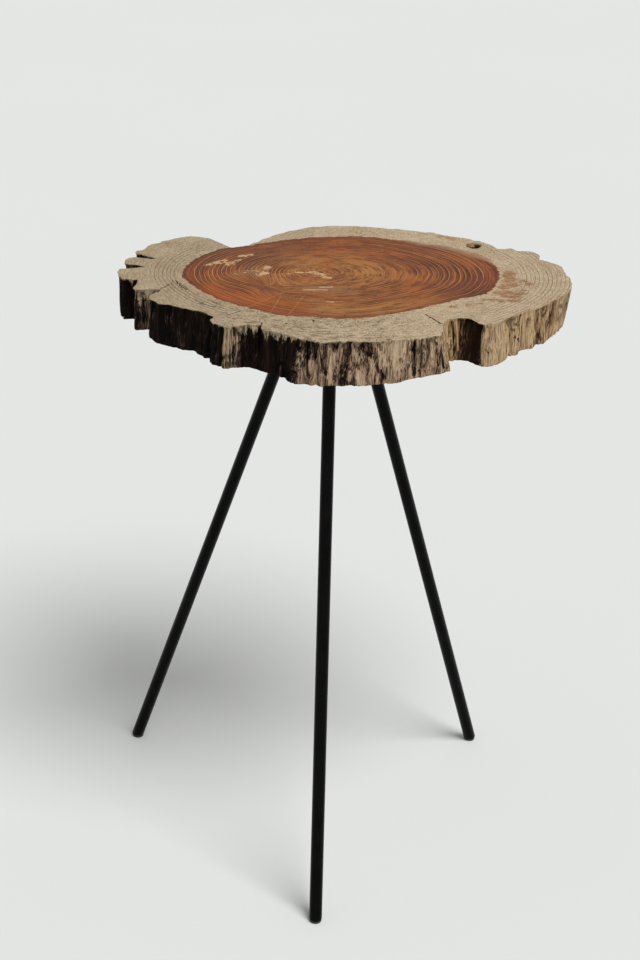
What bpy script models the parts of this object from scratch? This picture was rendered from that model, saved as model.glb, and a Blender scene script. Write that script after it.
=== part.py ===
"""Side table: an oval slice of a tree on a tripod of three raking steel rods.

The slab lies flat on a round plate that is screwed to its underside. The three rods are welded to the
plate, rake outwards and stand on thin glides. The front rod points along -Y and the slab is long in X.
The origin is on the floor, under the middle of the whole table's box. Lengths are in metres.
"""
import math

import bmesh
import bpy
from mathutils import Vector

# Whole table
table_height = 0.557
touch_gap = 0.0003
cut_overrun = 0.004

# Slab: its middle lies beside the tripod's own axis
slab_length = 0.416
slab_width = 0.288
slab_thickness = 0.041
slab_offset_x = 0.015
slab_offset_y = 0.013

# Shallow flutes that weathering left down the slab's sides
flute_pitch = 0.007
flute_depth = 0.0012

# Knot hole near the back of the slab
knot_x_share = 0.616
knot_y_share = 0.68
knot_diameter = 0.0145
knot_depth = 0.018
knot_bottom_share = 0.45

# Steel rods
rod_diameter = 0.012
foot_circle_radius = 0.205
rod_top_circle_radius = 0.037
rod_sides = 32
leg_degrees = {"front": -90, "right": 30, "left": 150}

# Glides under the rods' ends
glide_thickness = 0.003
glide_inset = 0.0004

# Plate under the slab
plate_diameter = 0.130
plate_thickness = 0.005
plate_edge_bevel = 0.0006
plate_sides = 64

# Fillet welds round the rods' upper ends
weld_leg = 0.004
weld_length = 0.0055
weld_toe = 0.0008

# Countersunk wood screws through the plate
screw_count = 6
screw_circle_radius = 0.051
screw_length = 0.028
screw_diameter = 0.005
screw_head_diameter = 0.0096
screw_head_height = 0.0026
screw_tip_length = 0.005
screw_tip_diameter = 0.001
screw_plain_length = 0.005
thread_pitch = 0.0025
thread_depth = 0.0007
recess_length = 0.0050
recess_width = 0.0011
recess_depth = 0.0016
screw_sides = 16

# Outline of the slab from above, counter-clockwise from its left tip, as shares of half its length and
# half its width. Two radial cracks open the left end, and a deep notch parts the right lobe from the front one.
slab_outline_shares = [
    (-0.990, 0.130), (-1.000, 0.080), (-0.996, 0.036), (-0.990, 0.006), (-0.979, -0.012),
    (-0.975, -0.040), (-0.907, -0.040), (-0.910, -0.085), (-0.918, -0.128), (-0.927, -0.168),
    (-0.925, -0.198), (-0.916, -0.218), (-0.890, -0.217), (-0.859, -0.200), (-0.809, -0.203),
    (-0.818, -0.246), (-0.836, -0.262), (-0.851, -0.301), (-0.859, -0.337), (-0.855, -0.365),
    (-0.836, -0.394), (-0.816, -0.429), (-0.778, -0.453), (-0.750, -0.460), (-0.718, -0.491),
    (-0.677, -0.511), (-0.633, -0.546), (-0.597, -0.591), (-0.583, -0.625), (-0.597, -0.672),
    (-0.585, -0.713), (-0.537, -0.776), (-0.475, -0.761), (-0.437, -0.737), (-0.404, -0.734),
    (-0.376, -0.726), (-0.387, -0.789), (-0.371, -0.814), (-0.338, -0.828), (-0.302, -0.863),
    (-0.260, -0.890), (-0.223, -0.952), (-0.182, -0.973), (-0.146, -1.000), (-0.100, -0.979),
    (-0.038, -0.967), (0.044, -0.968), (0.118, -0.958), (0.198, -0.936), (0.272, -0.910),
    (0.321, -0.876), (0.352, -0.835), (0.370, -0.756), (0.376, -0.663), (0.407, -0.594),
    (0.450, -0.570), (0.488, -0.563), (0.514, -0.575), (0.524, -0.619), (0.536, -0.663),
    (0.561, -0.672), (0.605, -0.647), (0.654, -0.578), (0.686, -0.525), (0.743, -0.459),
    (0.770, -0.401), (0.802, -0.384), (0.828, -0.364), (0.867, -0.299), (0.901, -0.228),
    (0.934, -0.162), (0.974, -0.072), (0.993, -0.020), (0.998, 0.056), (1.000, 0.144),
    (0.980, 0.233), (0.981, 0.327), (0.958, 0.375), (0.932, 0.410), (0.905, 0.433),
    (0.883, 0.454), (0.896, 0.542), (0.864, 0.585), (0.801, 0.603), (0.777, 0.645),
    (0.745, 0.616), (0.715, 0.624), (0.690, 0.686), (0.644, 0.760), (0.574, 0.817),
    (0.508, 0.855), (0.437, 0.899), (0.360, 0.930), (0.264, 0.961), (0.121, 0.994),
    (-0.024, 1.000), (-0.146, 0.955), (-0.246, 0.867), (-0.333, 0.750), (-0.400, 0.640),
    (-0.450, 0.570), (-0.490, 0.545), (-0.535, 0.555), (-0.569, 0.631), (-0.605, 0.698),
    (-0.656, 0.723), (-0.706, 0.729), (-0.769, 0.667), (-0.809, 0.638), (-0.815, 0.602),
    (-0.857, 0.573), (-0.874, 0.548), (-0.887, 0.487), (-0.900, 0.462), (-0.924, 0.442),
    (-0.934, 0.416), (-0.884, 0.367), (-0.835, 0.334), (-0.888, 0.317), (-0.933, 0.345),
    (-0.956, 0.318), (-0.971, 0.271), (-0.976, 0.230), (-0.922, 0.209), (-0.877, 0.175),
    (-0.975, 0.135),
]

# Heights and places worked out from the sizes above
slab_underside = table_height - slab_thickness
plate_top = slab_underside - touch_gap
plate_underside = plate_top - plate_thickness
rod_top = plate_underside - touch_gap
rod_bottom = glide_thickness + touch_gap
rod_radius = rod_diameter / 2
rod_tilt = math.atan((foot_circle_radius - rod_top_circle_radius) / plate_underside)

# Colours: red, green, blue, roughness, metallic
wood_finish = (0.36, 0.24, 0.14, 0.75, 0.0)
black_steel_finish = (0.02, 0.02, 0.02, 0.42, 1.0)
zinc_finish = (0.45, 0.45, 0.44, 0.35, 1.0)
pad_finish = (0.015, 0.015, 0.015, 0.7, 0.0)


def clear_scene():
    """Remove what the start-up scene holds."""
    for thing in list(bpy.data.objects):
        bpy.data.objects.remove(thing, do_unlink=True)


def new_collection(name):
    group = bpy.data.collections.new(name)
    bpy.context.scene.collection.children.link(group)
    return group


def new_material(name, finish):
    """A Principled material from a finish tuple."""
    material = bpy.data.materials.new(name)
    material.use_nodes = True
    shader = material.node_tree.nodes["Principled BSDF"]
    shader.inputs["Base Color"].default_value = (*finish[:3], 1.0)
    shader.inputs["Roughness"].default_value = finish[3]
    shader.inputs["Metallic"].default_value = finish[4]
    return material


def rod_reach(height):
    """Distance of a rod's centre line from the tripod's axis, at a height above the floor."""
    share = height / plate_underside
    return foot_circle_radius + (rod_top_circle_radius - foot_circle_radius) * share


def rod_centre(degrees, height):
    """A point on a rod's centre line, measured from the tripod's axis."""
    turn = math.radians(degrees)
    reach = rod_reach(height)
    return Vector((reach * math.cos(turn), reach * math.sin(turn), height))


def tripod_place():
    """Where the tripod's axis stands, so that the origin lies under the middle of the table's box."""
    front_foot = rod_reach(rod_bottom) + rod_radius / math.cos(rod_tilt)
    side_foot = rod_centre(leg_degrees["right"], rod_bottom)
    right = max(slab_length / 2 + slab_offset_x, side_foot.x + rod_diameter)
    left = max(slab_length / 2 - slab_offset_x, side_foot.x + rod_diameter)
    back = max(slab_width / 2 + slab_offset_y, side_foot.y + rod_diameter)
    front = max(slab_width / 2 - slab_offset_y, front_foot)
    return Vector(((left - right) / 2, (front - back) / 2, 0))


def place(thing, group, tripod, material=None):
    """Put an object in its collection, on the tripod's axis, with its material."""
    group.objects.link(thing)
    thing.parent = tripod
    if material:
        thing.data.materials.append(material)
    return thing


def mesh_object(name, shape):
    """An object from a bmesh, shaded smooth except at its sharp edges."""
    mesh = bpy.data.meshes.new(name)
    shape.to_mesh(mesh)
    shape.free()
    mesh.shade_smooth()
    mesh.set_sharp_from_angle(angle=math.radians(30))
    return bpy.data.objects.new(name, mesh)


def round_bar(name, sides, bottom_radius, top_radius, length):
    """A closed cylinder or cone along Z, centred on its own middle."""
    shape = bmesh.new()
    bmesh.ops.create_cone(shape, cap_ends=True, segments=sides, radius1=bottom_radius,
                          radius2=top_radius, depth=length)
    return mesh_object(name, shape)


def box(name, length, width, height):
    shape = bmesh.new()
    bmesh.ops.create_cube(shape, size=1)
    bmesh.ops.scale(shape, vec=(length, width, height), verts=shape.verts)
    return mesh_object(name, shape)


def boolean(thing, cutter, operation="DIFFERENCE"):
    """Cut a piece with a cutter, or keep only what lies inside it."""
    modifier = thing.modifiers.new(cutter.name, "BOOLEAN")
    modifier.operation = operation
    modifier.solver = "EXACT"
    modifier.object = cutter


def hide_cutter(cutter):
    cutter.hide_render = True
    cutter.display_type = "WIRE"
    return cutter


def aim_along_rod(thing, degrees, height):
    """Lay an object's Z axis along a rod, with its middle on the rod's centre line at a height."""
    foot = rod_centre(degrees, 0)
    top = rod_centre(degrees, plate_underside)
    thing.location = rod_centre(degrees, height)
    thing.rotation_euler = (top - foot).to_track_quat("Z", "Y").to_euler()


def fluted_outline():
    """The slab's outline in real lengths, with shallow flutes on its longer stretches."""
    corners = [Vector((x * slab_length / 2, y * slab_width / 2)) for x, y in slab_outline_shares]
    points = []
    for start, end in zip(corners, corners[1:] + corners[:1]):
        side = end - start
        inward = Vector((-side.y, side.x)).normalized()
        steps = max(1, int(side.length / flute_pitch))
        for step in range(steps):
            depth = flute_depth if step % 2 else 0
            points.append(start + side * step / steps + inward * depth)
    return points


def make_slab(group, cutters, tripod, material):
    """The slice of wood: its outline as a flat curve, extruded, with its knot and screw holes cut."""
    curve = bpy.data.curves.new("slab_outline", "CURVE")
    curve.dimensions = "2D"
    curve.fill_mode = "BOTH"
    curve.extrude = slab_thickness / 2
    points = fluted_outline()
    spline = curve.splines.new("POLY")
    spline.points.add(len(points) - 1)
    for spot, point in zip(spline.points, points):
        spot.co = (point.x, point.y, 0, 1)
    spline.use_cyclic_u = True
    outline = place(bpy.data.objects.new("slab_outline", curve), group, tripod)
    outline.location = (slab_offset_x, slab_offset_y, slab_underside + slab_thickness / 2)
    bpy.context.view_layer.update()

    evaluated = outline.evaluated_get(bpy.context.evaluated_depsgraph_get())
    mesh = bpy.data.meshes.new_from_object(evaluated)
    shape = bmesh.new()
    shape.from_mesh(mesh)
    bmesh.ops.remove_doubles(shape, verts=shape.verts, dist=touch_gap / 10)
    shape.to_mesh(mesh)
    shape.free()
    slab = place(bpy.data.objects.new("slab_top", mesh), group, tripod, material)
    slab.matrix_world = outline.matrix_world
    bpy.data.objects.remove(outline, do_unlink=True)

    knot = round_bar("knot_cutter", screw_sides, knot_diameter / 2 * knot_bottom_share, knot_diameter / 2,
                     knot_depth + cut_overrun)
    knot.location = (slab_offset_x + knot_x_share * slab_length / 2,
                     slab_offset_y + knot_y_share * slab_width / 2,
                     table_height + (cut_overrun - knot_depth) / 2)
    boolean(slab, place(hide_cutter(knot), cutters, tripod))
    return slab


def make_plate(group, tripod, material):
    """The round steel plate, with the edge of its rims taken off."""
    plate = round_bar("mounting_plate", plate_sides, plate_diameter / 2, plate_diameter / 2,
                      plate_thickness)
    plate.location = (0, 0, plate_underside + plate_thickness / 2)
    rim = plate.modifiers.new("rim", "BEVEL")
    rim.width = plate_edge_bevel
    rim.segments = 2
    return place(plate, group, tripod, material)


def screw_places():
    """The screws stand on one circle, clear of the rods."""
    step = 2 * math.pi / screw_count
    first = math.radians(leg_degrees["front"]) + step / 2
    for number in range(screw_count):
        turn = first + number * step
        yield Vector((screw_circle_radius * math.cos(turn), screw_circle_radius * math.sin(turn),
                      plate_underside))


def screw_profile(clearance=0, threads=True):
    """Half the outline of a screw from its tip down to its head, as radius and height."""
    shank = screw_diameter / 2
    tip = screw_length
    thread_top = tip - screw_tip_length
    thread_bottom = screw_head_height + screw_plain_length
    points = [(0, tip + clearance), (screw_tip_diameter / 2 + clearance, tip + clearance)]
    if threads:
        turns = max(1, int((thread_top - thread_bottom) / thread_pitch))
        pitch = (thread_top - thread_bottom) / turns
        for turn in range(turns):
            crest = thread_top - turn * pitch
            points.append((shank, crest))
            points.append((shank - thread_depth, crest - pitch / 2))
        points.append((shank, thread_bottom))
    else:
        points.append((shank + clearance, thread_top + clearance))
    points.append((shank + clearance, screw_head_height + clearance))
    points.append((screw_head_diameter / 2 + clearance, 0))
    return points


def turned(name, profile, sides):
    """A closed body turned about Z from a profile that runs down its outer side."""
    mesh = bpy.data.meshes.new(name)
    corners = [(radius, 0, height) for radius, height in profile]
    edges = [(spot, spot + 1) for spot in range(len(corners) - 1)]
    mesh.from_pydata(corners, edges, [])
    body = bpy.data.objects.new(name, mesh)
    turn = body.modifiers.new("turn", "SCREW")
    turn.steps = sides
    turn.render_steps = sides
    turn.use_merge_vertices = True
    turn.merge_threshold = touch_gap / 10
    turn.use_smooth_shade = True
    return body


def make_screws(group, cutters, tripod, material, plate, slab):
    """The wood screws, driven up through the plate, and the holes that they sit in."""
    for number, spot in enumerate(screw_places(), start=1):
        screw = turned(f"screw_{number}", screw_profile() + [(0, 0)], screw_sides)
        screw.location = spot
        place(screw, group, tripod, material)
        for way, length, width in (("x", recess_length, recess_width), ("y", recess_width, recess_length)):
            slot = hide_cutter(box(f"recess_{way}_{number}", length, width, recess_depth + cut_overrun))
            slot.location = spot + Vector((0, 0, (recess_depth - cut_overrun) / 2))
            boolean(screw, place(slot, cutters, tripod))
        outer = screw_profile(touch_gap, threads=False)
        outer += [(outer[-1][0], -cut_overrun), (0, -cut_overrun)]
        hole = hide_cutter(turned(f"screw_hole_{number}", outer, screw_sides))
        hole.location = spot
        place(hole, cutters, tripod)
        boolean(plate, hole)
        boolean(slab, hole)


def make_legs(group, cutters, tripod, steel, pad):
    """Each rod with its weld on the plate and its glide on the floor."""
    span = hide_cutter(box("leg_span", 2 * foot_circle_radius + 4 * rod_diameter,
                           2 * foot_circle_radius + 4 * rod_diameter, rod_top - rod_bottom))
    span.location = (0, 0, (rod_top + rod_bottom) / 2)
    place(span, cutters, tripod)
    rod_length = (rod_centre(0, plate_underside) - rod_centre(0, 0)).length + 2 * rod_diameter
    for side, degrees in leg_degrees.items():
        rod = round_bar(f"leg_{side}", rod_sides, rod_radius, rod_radius, rod_length)
        aim_along_rod(rod, degrees, plate_underside / 2)
        boolean(place(rod, group, tripod, steel), span, "INTERSECT")

        bore = hide_cutter(round_bar(f"weld_bore_{side}", rod_sides, rod_radius + touch_gap,
                                     rod_radius + touch_gap, rod_length))
        aim_along_rod(bore, degrees, plate_underside / 2)
        place(bore, cutters, tripod)
        # The bead is a cone round the rod that starts past the plate, where the span cuts it level
        past_plate = rod_radius
        spread = (weld_leg - weld_toe) / weld_length * past_plate
        bead = round_bar(f"weld_{side}", rod_sides, rod_radius + weld_toe,
                         rod_radius + weld_leg + spread, weld_length + past_plate)
        middle = (past_plate - weld_length) / 2 * math.cos(rod_tilt)
        aim_along_rod(bead, degrees, rod_top + middle)
        place(bead, group, tripod, steel)
        boolean(bead, span, "INTERSECT")
        boolean(bead, bore)

        glide = round_bar(f"glide_{side}", rod_sides, rod_radius - glide_inset,
                          rod_radius - glide_inset, glide_thickness)
        foot = rod_centre(degrees, rod_bottom)
        glide.location = (foot.x, foot.y, glide_thickness / 2)
        place(glide, group, tripod, pad)


def main():
    clear_scene()
    group = new_collection("side_table")
    cutters = new_collection("cutters")
    tripod = bpy.data.objects.new("tripod_axis", None)
    group.objects.link(tripod)
    tripod.location = tripod_place()
    wood = new_material("wood", wood_finish)
    steel = new_material("black_steel", black_steel_finish)
    zinc = new_material("zinc_plated_steel", zinc_finish)
    pad = new_material("pad", pad_finish)

    slab = make_slab(group, cutters, tripod, wood)
    plate = make_plate(group, tripod, steel)
    make_screws(group, cutters, tripod, zinc, plate, slab)
    make_legs(group, cutters, tripod, steel, pad)
    bpy.context.view_layer.update()


main()
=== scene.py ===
"""Looks of a side table: an oval slice of a tree on three raking steel rods.

The file is laid out as an add-on and run as a script. It builds the finished surfaces of the table round its
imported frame: the slab's split sides and sawn faces, the rods, their welds and their glides, and the finish of
the plate and the screws. Lengths are in metres unless a name says millimetres.
"""

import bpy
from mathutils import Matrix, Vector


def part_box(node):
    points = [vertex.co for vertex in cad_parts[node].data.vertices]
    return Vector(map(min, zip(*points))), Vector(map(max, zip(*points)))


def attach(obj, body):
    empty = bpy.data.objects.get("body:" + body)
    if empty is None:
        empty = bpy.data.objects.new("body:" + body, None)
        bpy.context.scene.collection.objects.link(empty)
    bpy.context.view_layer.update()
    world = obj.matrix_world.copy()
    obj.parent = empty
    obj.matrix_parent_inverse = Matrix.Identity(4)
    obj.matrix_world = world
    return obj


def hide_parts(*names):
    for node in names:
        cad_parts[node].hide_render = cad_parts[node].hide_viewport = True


bl_info = {
    "name": "Tree Slice Side Table",
    "version": (1, 0, 0),
    "blender": (4, 5, 0),
    "location": "3D View > Sidebar > Side Table",
    "description": "Builds the finished wood, steel and studio of a side table round its packed frame",
    "category": "Object",
}

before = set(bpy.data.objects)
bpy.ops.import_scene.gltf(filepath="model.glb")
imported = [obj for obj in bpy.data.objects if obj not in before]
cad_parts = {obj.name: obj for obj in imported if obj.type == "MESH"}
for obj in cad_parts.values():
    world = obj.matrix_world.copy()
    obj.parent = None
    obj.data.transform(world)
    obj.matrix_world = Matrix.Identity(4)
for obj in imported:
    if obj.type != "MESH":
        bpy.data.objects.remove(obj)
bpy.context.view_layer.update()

import math
from functools import partialmethod
from types import SimpleNamespace

import bpy
import numpy as np
from bpy.props import FloatProperty, FloatVectorProperty, IntProperty, PointerProperty
from mathutils import Matrix, Vector

slab_low, slab_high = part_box("slab_top")
plate_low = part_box("mounting_plate")[0]
leg_sides = ("front", "right", "left")
millimetre = 0.001

# Outline of the slab from above, counter-clockwise from its left tip, as shares of half its length and width.
# Two radial cracks open the left end, and a deep notch parts the right lobe from the front one.
slab_outline_shares = [
    (-0.99, 0.13), (-1.0, 0.08), (-0.996, 0.036), (-0.99, 0.006), (-0.979, -0.012), (-0.975, -0.04),
    (-0.907, -0.04), (-0.91, -0.085), (-0.918, -0.128), (-0.927, -0.168), (-0.925, -0.198), (-0.916, -0.218),
    (-0.89, -0.217), (-0.859, -0.204), (-0.809, -0.203), (-0.818, -0.246), (-0.836, -0.262),
    (-0.851, -0.301), (-0.859, -0.337), (-0.855, -0.365), (-0.836, -0.394), (-0.816, -0.429),
    (-0.778, -0.453), (-0.75, -0.46), (-0.718, -0.491), (-0.677, -0.511), (-0.633, -0.546), (-0.597, -0.591),
    (-0.583, -0.625), (-0.597, -0.672), (-0.585, -0.713), (-0.537, -0.776), (-0.475, -0.761),
    (-0.437, -0.737), (-0.404, -0.734), (-0.376, -0.726), (-0.387, -0.789), (-0.371, -0.814),
    (-0.338, -0.828), (-0.302, -0.863), (-0.26, -0.89), (-0.223, -0.952), (-0.182, -0.973), (-0.146, -1.0),
    (-0.1, -0.979), (-0.038, -0.967), (0.044, -0.968), (0.118, -0.958), (0.198, -0.936), (0.272, -0.91),
    (0.327, -0.876), (0.363, -0.835), (0.379, -0.756), (0.38, -0.663), (0.407, -0.594), (0.45, -0.57),
    (0.488, -0.563), (0.514, -0.575), (0.524, -0.619), (0.536, -0.663), (0.561, -0.672), (0.605, -0.647),
    (0.654, -0.578), (0.686, -0.525), (0.743, -0.459), (0.77, -0.401), (0.802, -0.384), (0.828, -0.364),
    (0.867, -0.299), (0.901, -0.228), (0.934, -0.162), (0.974, -0.072), (0.993, -0.02), (0.998, 0.056),
    (1.0, 0.144), (0.98, 0.233), (0.981, 0.327), (0.958, 0.375), (0.932, 0.41), (0.905, 0.433),
    (0.883, 0.454), (0.896, 0.542), (0.864, 0.585), (0.801, 0.603), (0.777, 0.645), (0.745, 0.616),
    (0.715, 0.624), (0.69, 0.686), (0.644, 0.76), (0.574, 0.817), (0.508, 0.855), (0.437, 0.899),
    (0.36, 0.93), (0.264, 0.961), (0.121, 0.994), (-0.024, 1.0), (-0.146, 0.955), (-0.246, 0.867),
    (-0.333, 0.75), (-0.4, 0.64), (-0.45, 0.57), (-0.49, 0.545), (-0.535, 0.555), (-0.569, 0.631),
    (-0.605, 0.698), (-0.656, 0.723), (-0.706, 0.729), (-0.769, 0.667), (-0.809, 0.638), (-0.815, 0.602),
    (-0.857, 0.573), (-0.874, 0.548), (-0.887, 0.487), (-0.9, 0.462), (-0.924, 0.442), (-0.934, 0.416),
    (-0.884, 0.367), (-0.835, 0.326), (-0.888, 0.317), (-0.933, 0.345), (-0.956, 0.318), (-0.971, 0.271),
    (-0.976, 0.23), (-0.925, 0.2), (-0.877, 0.175), (-0.975, 0.135),
]

# Edge of the heartwood, and the pith that its rings close round, as the same shares
heart_outline_shares = [
    (-0.717, 0.085), (-0.7, 0.22), (-0.666, 0.323), (-0.593, 0.454), (-0.518, 0.539), (-0.4, 0.6),
    (-0.288, 0.68), (-0.096, 0.764), (0.12, 0.799), (0.26, 0.76), (0.386, 0.7), (0.458, 0.672),
    (0.503, 0.631), (0.616, 0.515), (0.659, 0.452), (0.677, 0.378), (0.686, 0.251), (0.685, 0.122),
    (0.672, 0.013), (0.653, -0.047), (0.635, -0.097), (0.605, -0.158), (0.552, -0.212), (0.491, -0.252),
    (0.44, -0.306), (0.376, -0.367), (0.325, -0.408), (0.273, -0.454), (0.205, -0.504), (0.138, -0.549),
    (0.091, -0.58), (0.038, -0.601), (-0.028, -0.618), (-0.082, -0.619), (-0.146, -0.609), (-0.21, -0.599),
    (-0.274, -0.583), (-0.338, -0.553), (-0.402, -0.516), (-0.466, -0.455), (-0.531, -0.387),
    (-0.574, -0.338), (-0.64, -0.219), (-0.685, -0.107), (-0.714, 0.01),
]
pith_shares = (-0.107, 0.138)

# Looks along the outline, as (corner number, value) keys: how dark the side is, how amber it is, how far
# pale wood hangs over the side as a share of its height, how far the lower edge rises, how far the rim draws
# in and how far the lower edge does. The side's darkness is partly painted light and shade: dark on the left
# end, the front-left and the notch's left-facing wall, and pale on the right lobe's right-facing sides, as if
# lit from the right. The rest is the wood's own dark and pale stretches.
side_tone_and_shade_keys = [
    (0, 0.9), (3, 0.99), (7, 0.99), (8, 0.9), (11, 0.8), (13, 0.74), (14, 0.8), (16, 0.97), (22, 0.98),
    (30.7, 0.97), (31, 0.45), (31.6, 0.38), (32.1, 0.62), (32.5, 0.9), (34, 0.97), (40.3, 0.97), (41, 0.55),
    (43, 0.46), (46, 0.46), (50, 0.36), (52, 0.3), (53, 0.14), (54, 0.1), (54.6, 0.34), (55, 0.64),
    (55.4, 0.8), (56, 0.93), (57, 0.97), (59, 0.94), (60, 0.2), (63, 0.2), (66, 0.22), (67, 0.5), (69, 0.45),
    (70, 0.16), (76, 0.22), (84, 0.45), (92, 0.4), (98, 0.55), (101, 0.85), (103, 0.7), (107, 0.55),
    (112, 0.7), (116, 0.9), (121, 0.7), (125, 0.9),
]
side_amber_keys = [
    (0, 0.0), (50, 0.0), (52, 0.25), (53, 0.85), (56, 0.9), (58, 0.5), (60, 0.35), (63, 0.75), (68, 0.8),
    (72, 0.6), (76, 0.4), (84, 0.2), (90, 0.0), (125, 0.0),
]
side_lip_keys = [
    (0, 0.02), (11, 0.14), (13, 0.26), (15, 0.08), (17, 0.02), (30, 0.02), (31, 0.06), (32, 0.13),
    (33, 0.17), (35, 0.12), (39, 0.13), (41, 0.05), (43, 0.03), (60, 0.03), (98, 0.08), (112, 0.05),
    (125, 0.02),
]
lower_rise_keys_mm = [
    (0, 0.0), (9, 0.0), (14, 0.0), (17, 0.5), (18, 2.5), (19, 2.5), (20, 1.0), (22, 0.0), (47, 0.0),
    (48, 1.0), (49, 3.0), (51, 4.5), (52, 2.0), (53, 0.0), (62, 0.0), (62.9, 0.5), (63.05, 4.0), (63.2, 0.5),
    (64, 0.0), (66, 0.5), (66.6, 2.5), (67.4, 2.5), (67.8, 1.0), (70, 1.0), (74, 1.5), (80, 2.0), (95, 1.0),
    (110, 2.0), (119, 1.0), (125, 0.0),
]
rim_inset_keys_mm = [
    (0, 0.0), (36, 1.0), (40, 1.0), (41, 3.0), (43, 3.0), (44, 1.5), (46, 3.0), (48, 4.5), (49, 4.5),
    (50, 3.0), (51, 0.5), (53, 0.5), (60, 1.5), (66, 1.5), (70, 0.0), (76, -1.2), (90, -1.5), (96, 0.0),
    (102, 0.0), (104, -1.5), (110, -1.5), (113, 0.0), (125, 0.0),
]
lower_inset_keys_mm = [
    (0, 0.3), (9, 0.0), (15, -1.0), (22, -1.0), (25, -1.5), (26, -4.5), (27, -6.0), (28, -2.0), (29, 0.0),
    (32, 0.0), (33, -2.5), (34, -7.0), (35, -8.0), (36, -2.0), (37, 0.0), (39, -1.0), (40, -6.0), (41, -6.0),
    (42, -2.0), (43, -0.5), (44, -1.5), (45, -5.0), (46, -3.0), (47, 0.0), (49, 0.0), (50, -2.0), (51, -5.5),
    (52, -9.0), (53, -8.5), (54, -3.0), (55, -2.5), (57, -2.5), (58, 0.0), (60, 0.0), (61, -1.5), (62, -2.0),
    (63, -1.0), (66, -0.5), (68, 0.0), (69, 0.5), (70, 1.5), (71, 3.0), (74, 4.0), (78, 2.5), (84, 1.5),
    (100, 0.5), (125, 0.3),
]

# Marks on the side as (corner, share of its height, corner, share, half width in millimetres), where corner
# is a place along the outline by its corner numbers and share 0 is the top of the side
side_dark_marks = [
    (41.57, 0.06, 41.63, 0.39, 3.2), (42.19, 0.05, 42.46, 0.34, 2.8), (41.31, 0.27, 41.36, 0.59, 1.8),
    (45.18, 0.05, 45.24, 0.19, 3.4), (45.1, 0.26, 45.02, 0.46, 3.8), (44.98, 0.56, 44.96, 0.94, 4.2),
    (46.03, 0.07, 46.23, 0.25, 4.2), (45.84, 0.11, 45.81, 0.34, 0.8), (46.61, 0.18, 46.71, 0.53, 2.8),
    (46.81, 0.05, 46.95, 0.21, 2.6), (43.31, 0.43, 43.63, 0.72, 2.0), (44.31, 0.07, 44.52, 0.19, 1.6),
    (43.52, 0.08, 43.56, 0.33, 2.4), (48.68, 0.05, 48.85, 0.88, 2.6), (48.69, 0.6, 48.72, 0.95, 1.2),
    (46.78, 0.64, 47.25, 0.88, 2.0), (61.7, 0.17, 61.82, 0.39, 0.8), (62.37, 0.06, 62.34, 0.25, 0.9),
    (63.91, 0.03, 63.93, 0.1, 0.9), (64.12, 0.33, 64.12, 0.61, 0.7), (64.65, 0.02, 64.66, 0.28, 0.8),
    (63.27, 0.37, 63.23, 0.53, 0.6), (67.16, 0.04, 67.06, 0.24, 1.4), (68.51, 0.07, 68.49, 0.4, 2.4),
    (68.04, 0.45, 68.12, 0.84, 2.0), (66.97, 0.45, 67.24, 0.71, 1.3), (66.81, 0.73, 67.45, 0.85, 3.0),
    (70.12, 0.06, 70.15, 0.35, 0.9), (63.48, 0.53, 63.77, 0.63, 1.2), (62.19, 0.61, 62.2, 0.62, 0.8),
    (54.61, 0.08, 54.87, 0.88, 1.3), (55.72, 0.28, 56.11, 0.94, 1.2), (31.74, 0.05, 31.69, 0.83, 1.2),
    (31.17, 0.09, 31.19, 0.43, 0.4),
]
side_slit_marks = [
    (51.1, 0.3, 51.2, 0.48, 1.5), (51.2, 0.55, 51.2, 0.86, 1.8), (48.69, 0.66, 48.72, 0.93, 0.5),
    (54.61, 0.15, 54.8, 0.8, 0.6),
]
side_pale_marks = [
    (42.79, 0.05, 43.02, 0.33, 1.0), (42.16, 0.49, 42.48, 0.95, 3.0), (44.04, 0.09, 44.09, 0.93, 1.6),
    (44.77, 0.05, 44.48, 0.37, 0.8), (45.48, 0.07, 45.52, 0.41, 2.6), (45.7, 0.71, 45.93, 0.94, 3.4),
    (47.34, 0.0, 47.49, 0.34, 4.2), (47.86, 0.0, 47.91, 0.35, 3.4), (47.71, 0.43, 47.88, 0.85, 3.0),
    (48.99, 0.04, 49.12, 0.71, 0.9), (50.16, 0.19, 50.42, 0.78, 1.6), (47.13, 0.37, 47.31, 0.56, 2.0),
    (48.27, 0.11, 48.21, 0.45, 1.4), (46.3, 0.41, 46.44, 0.59, 1.2), (45.3, 0.69, 45.27, 0.87, 1.6),
    (31.02, 0.04, 30.9, 0.92, 1.1), (31.37, 0.07, 31.32, 0.82, 0.9), (31.97, 0.05, 31.99, 0.37, 1.2),
    (32.37, 0.02, 32.34, 0.61, 0.8), (11.49, 0.0, 11.66, 0.25, 2.0), (59.21, 0.08, 59.88, 0.81, 1.6),
    (60.19, 0.12, 60.35, 0.87, 2.0), (63.33, 0.07, 63.32, 0.82, 1.6), (67.63, 0.18, 67.77, 0.71, 0.9),
    (65.42, 0.08, 65.43, 0.86, 3.0), (72.6, 0.1, 71.6, 0.8, 1.0), (55.01, 0.05, 55.32, 0.75, 1.2),
]
side_rust_marks = [
    (45.33, 0.55, 46.21, 0.55, 2.4), (48.39, 0.02, 48.47, 0.46, 1.2), (53.59, 0.21, 53.71, 1.0, 2.2),
    (61.09, 0.13, 61.25, 0.31, 1.2), (61.67, 0.12, 61.8, 0.46, 1.6), (62.37, 0.04, 62.5, 0.28, 1.6),
    (69.05, 0.03, 69.12, 0.63, 2.2), (61.68, 0.68, 61.58, 0.95, 1.8), (63.84, 0.63, 64.63, 0.87, 1.8),
    (47.87, 0.76, 47.94, 0.92, 2.0), (50.27, 0.81, 50.66, 0.98, 2.0),
]

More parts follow.
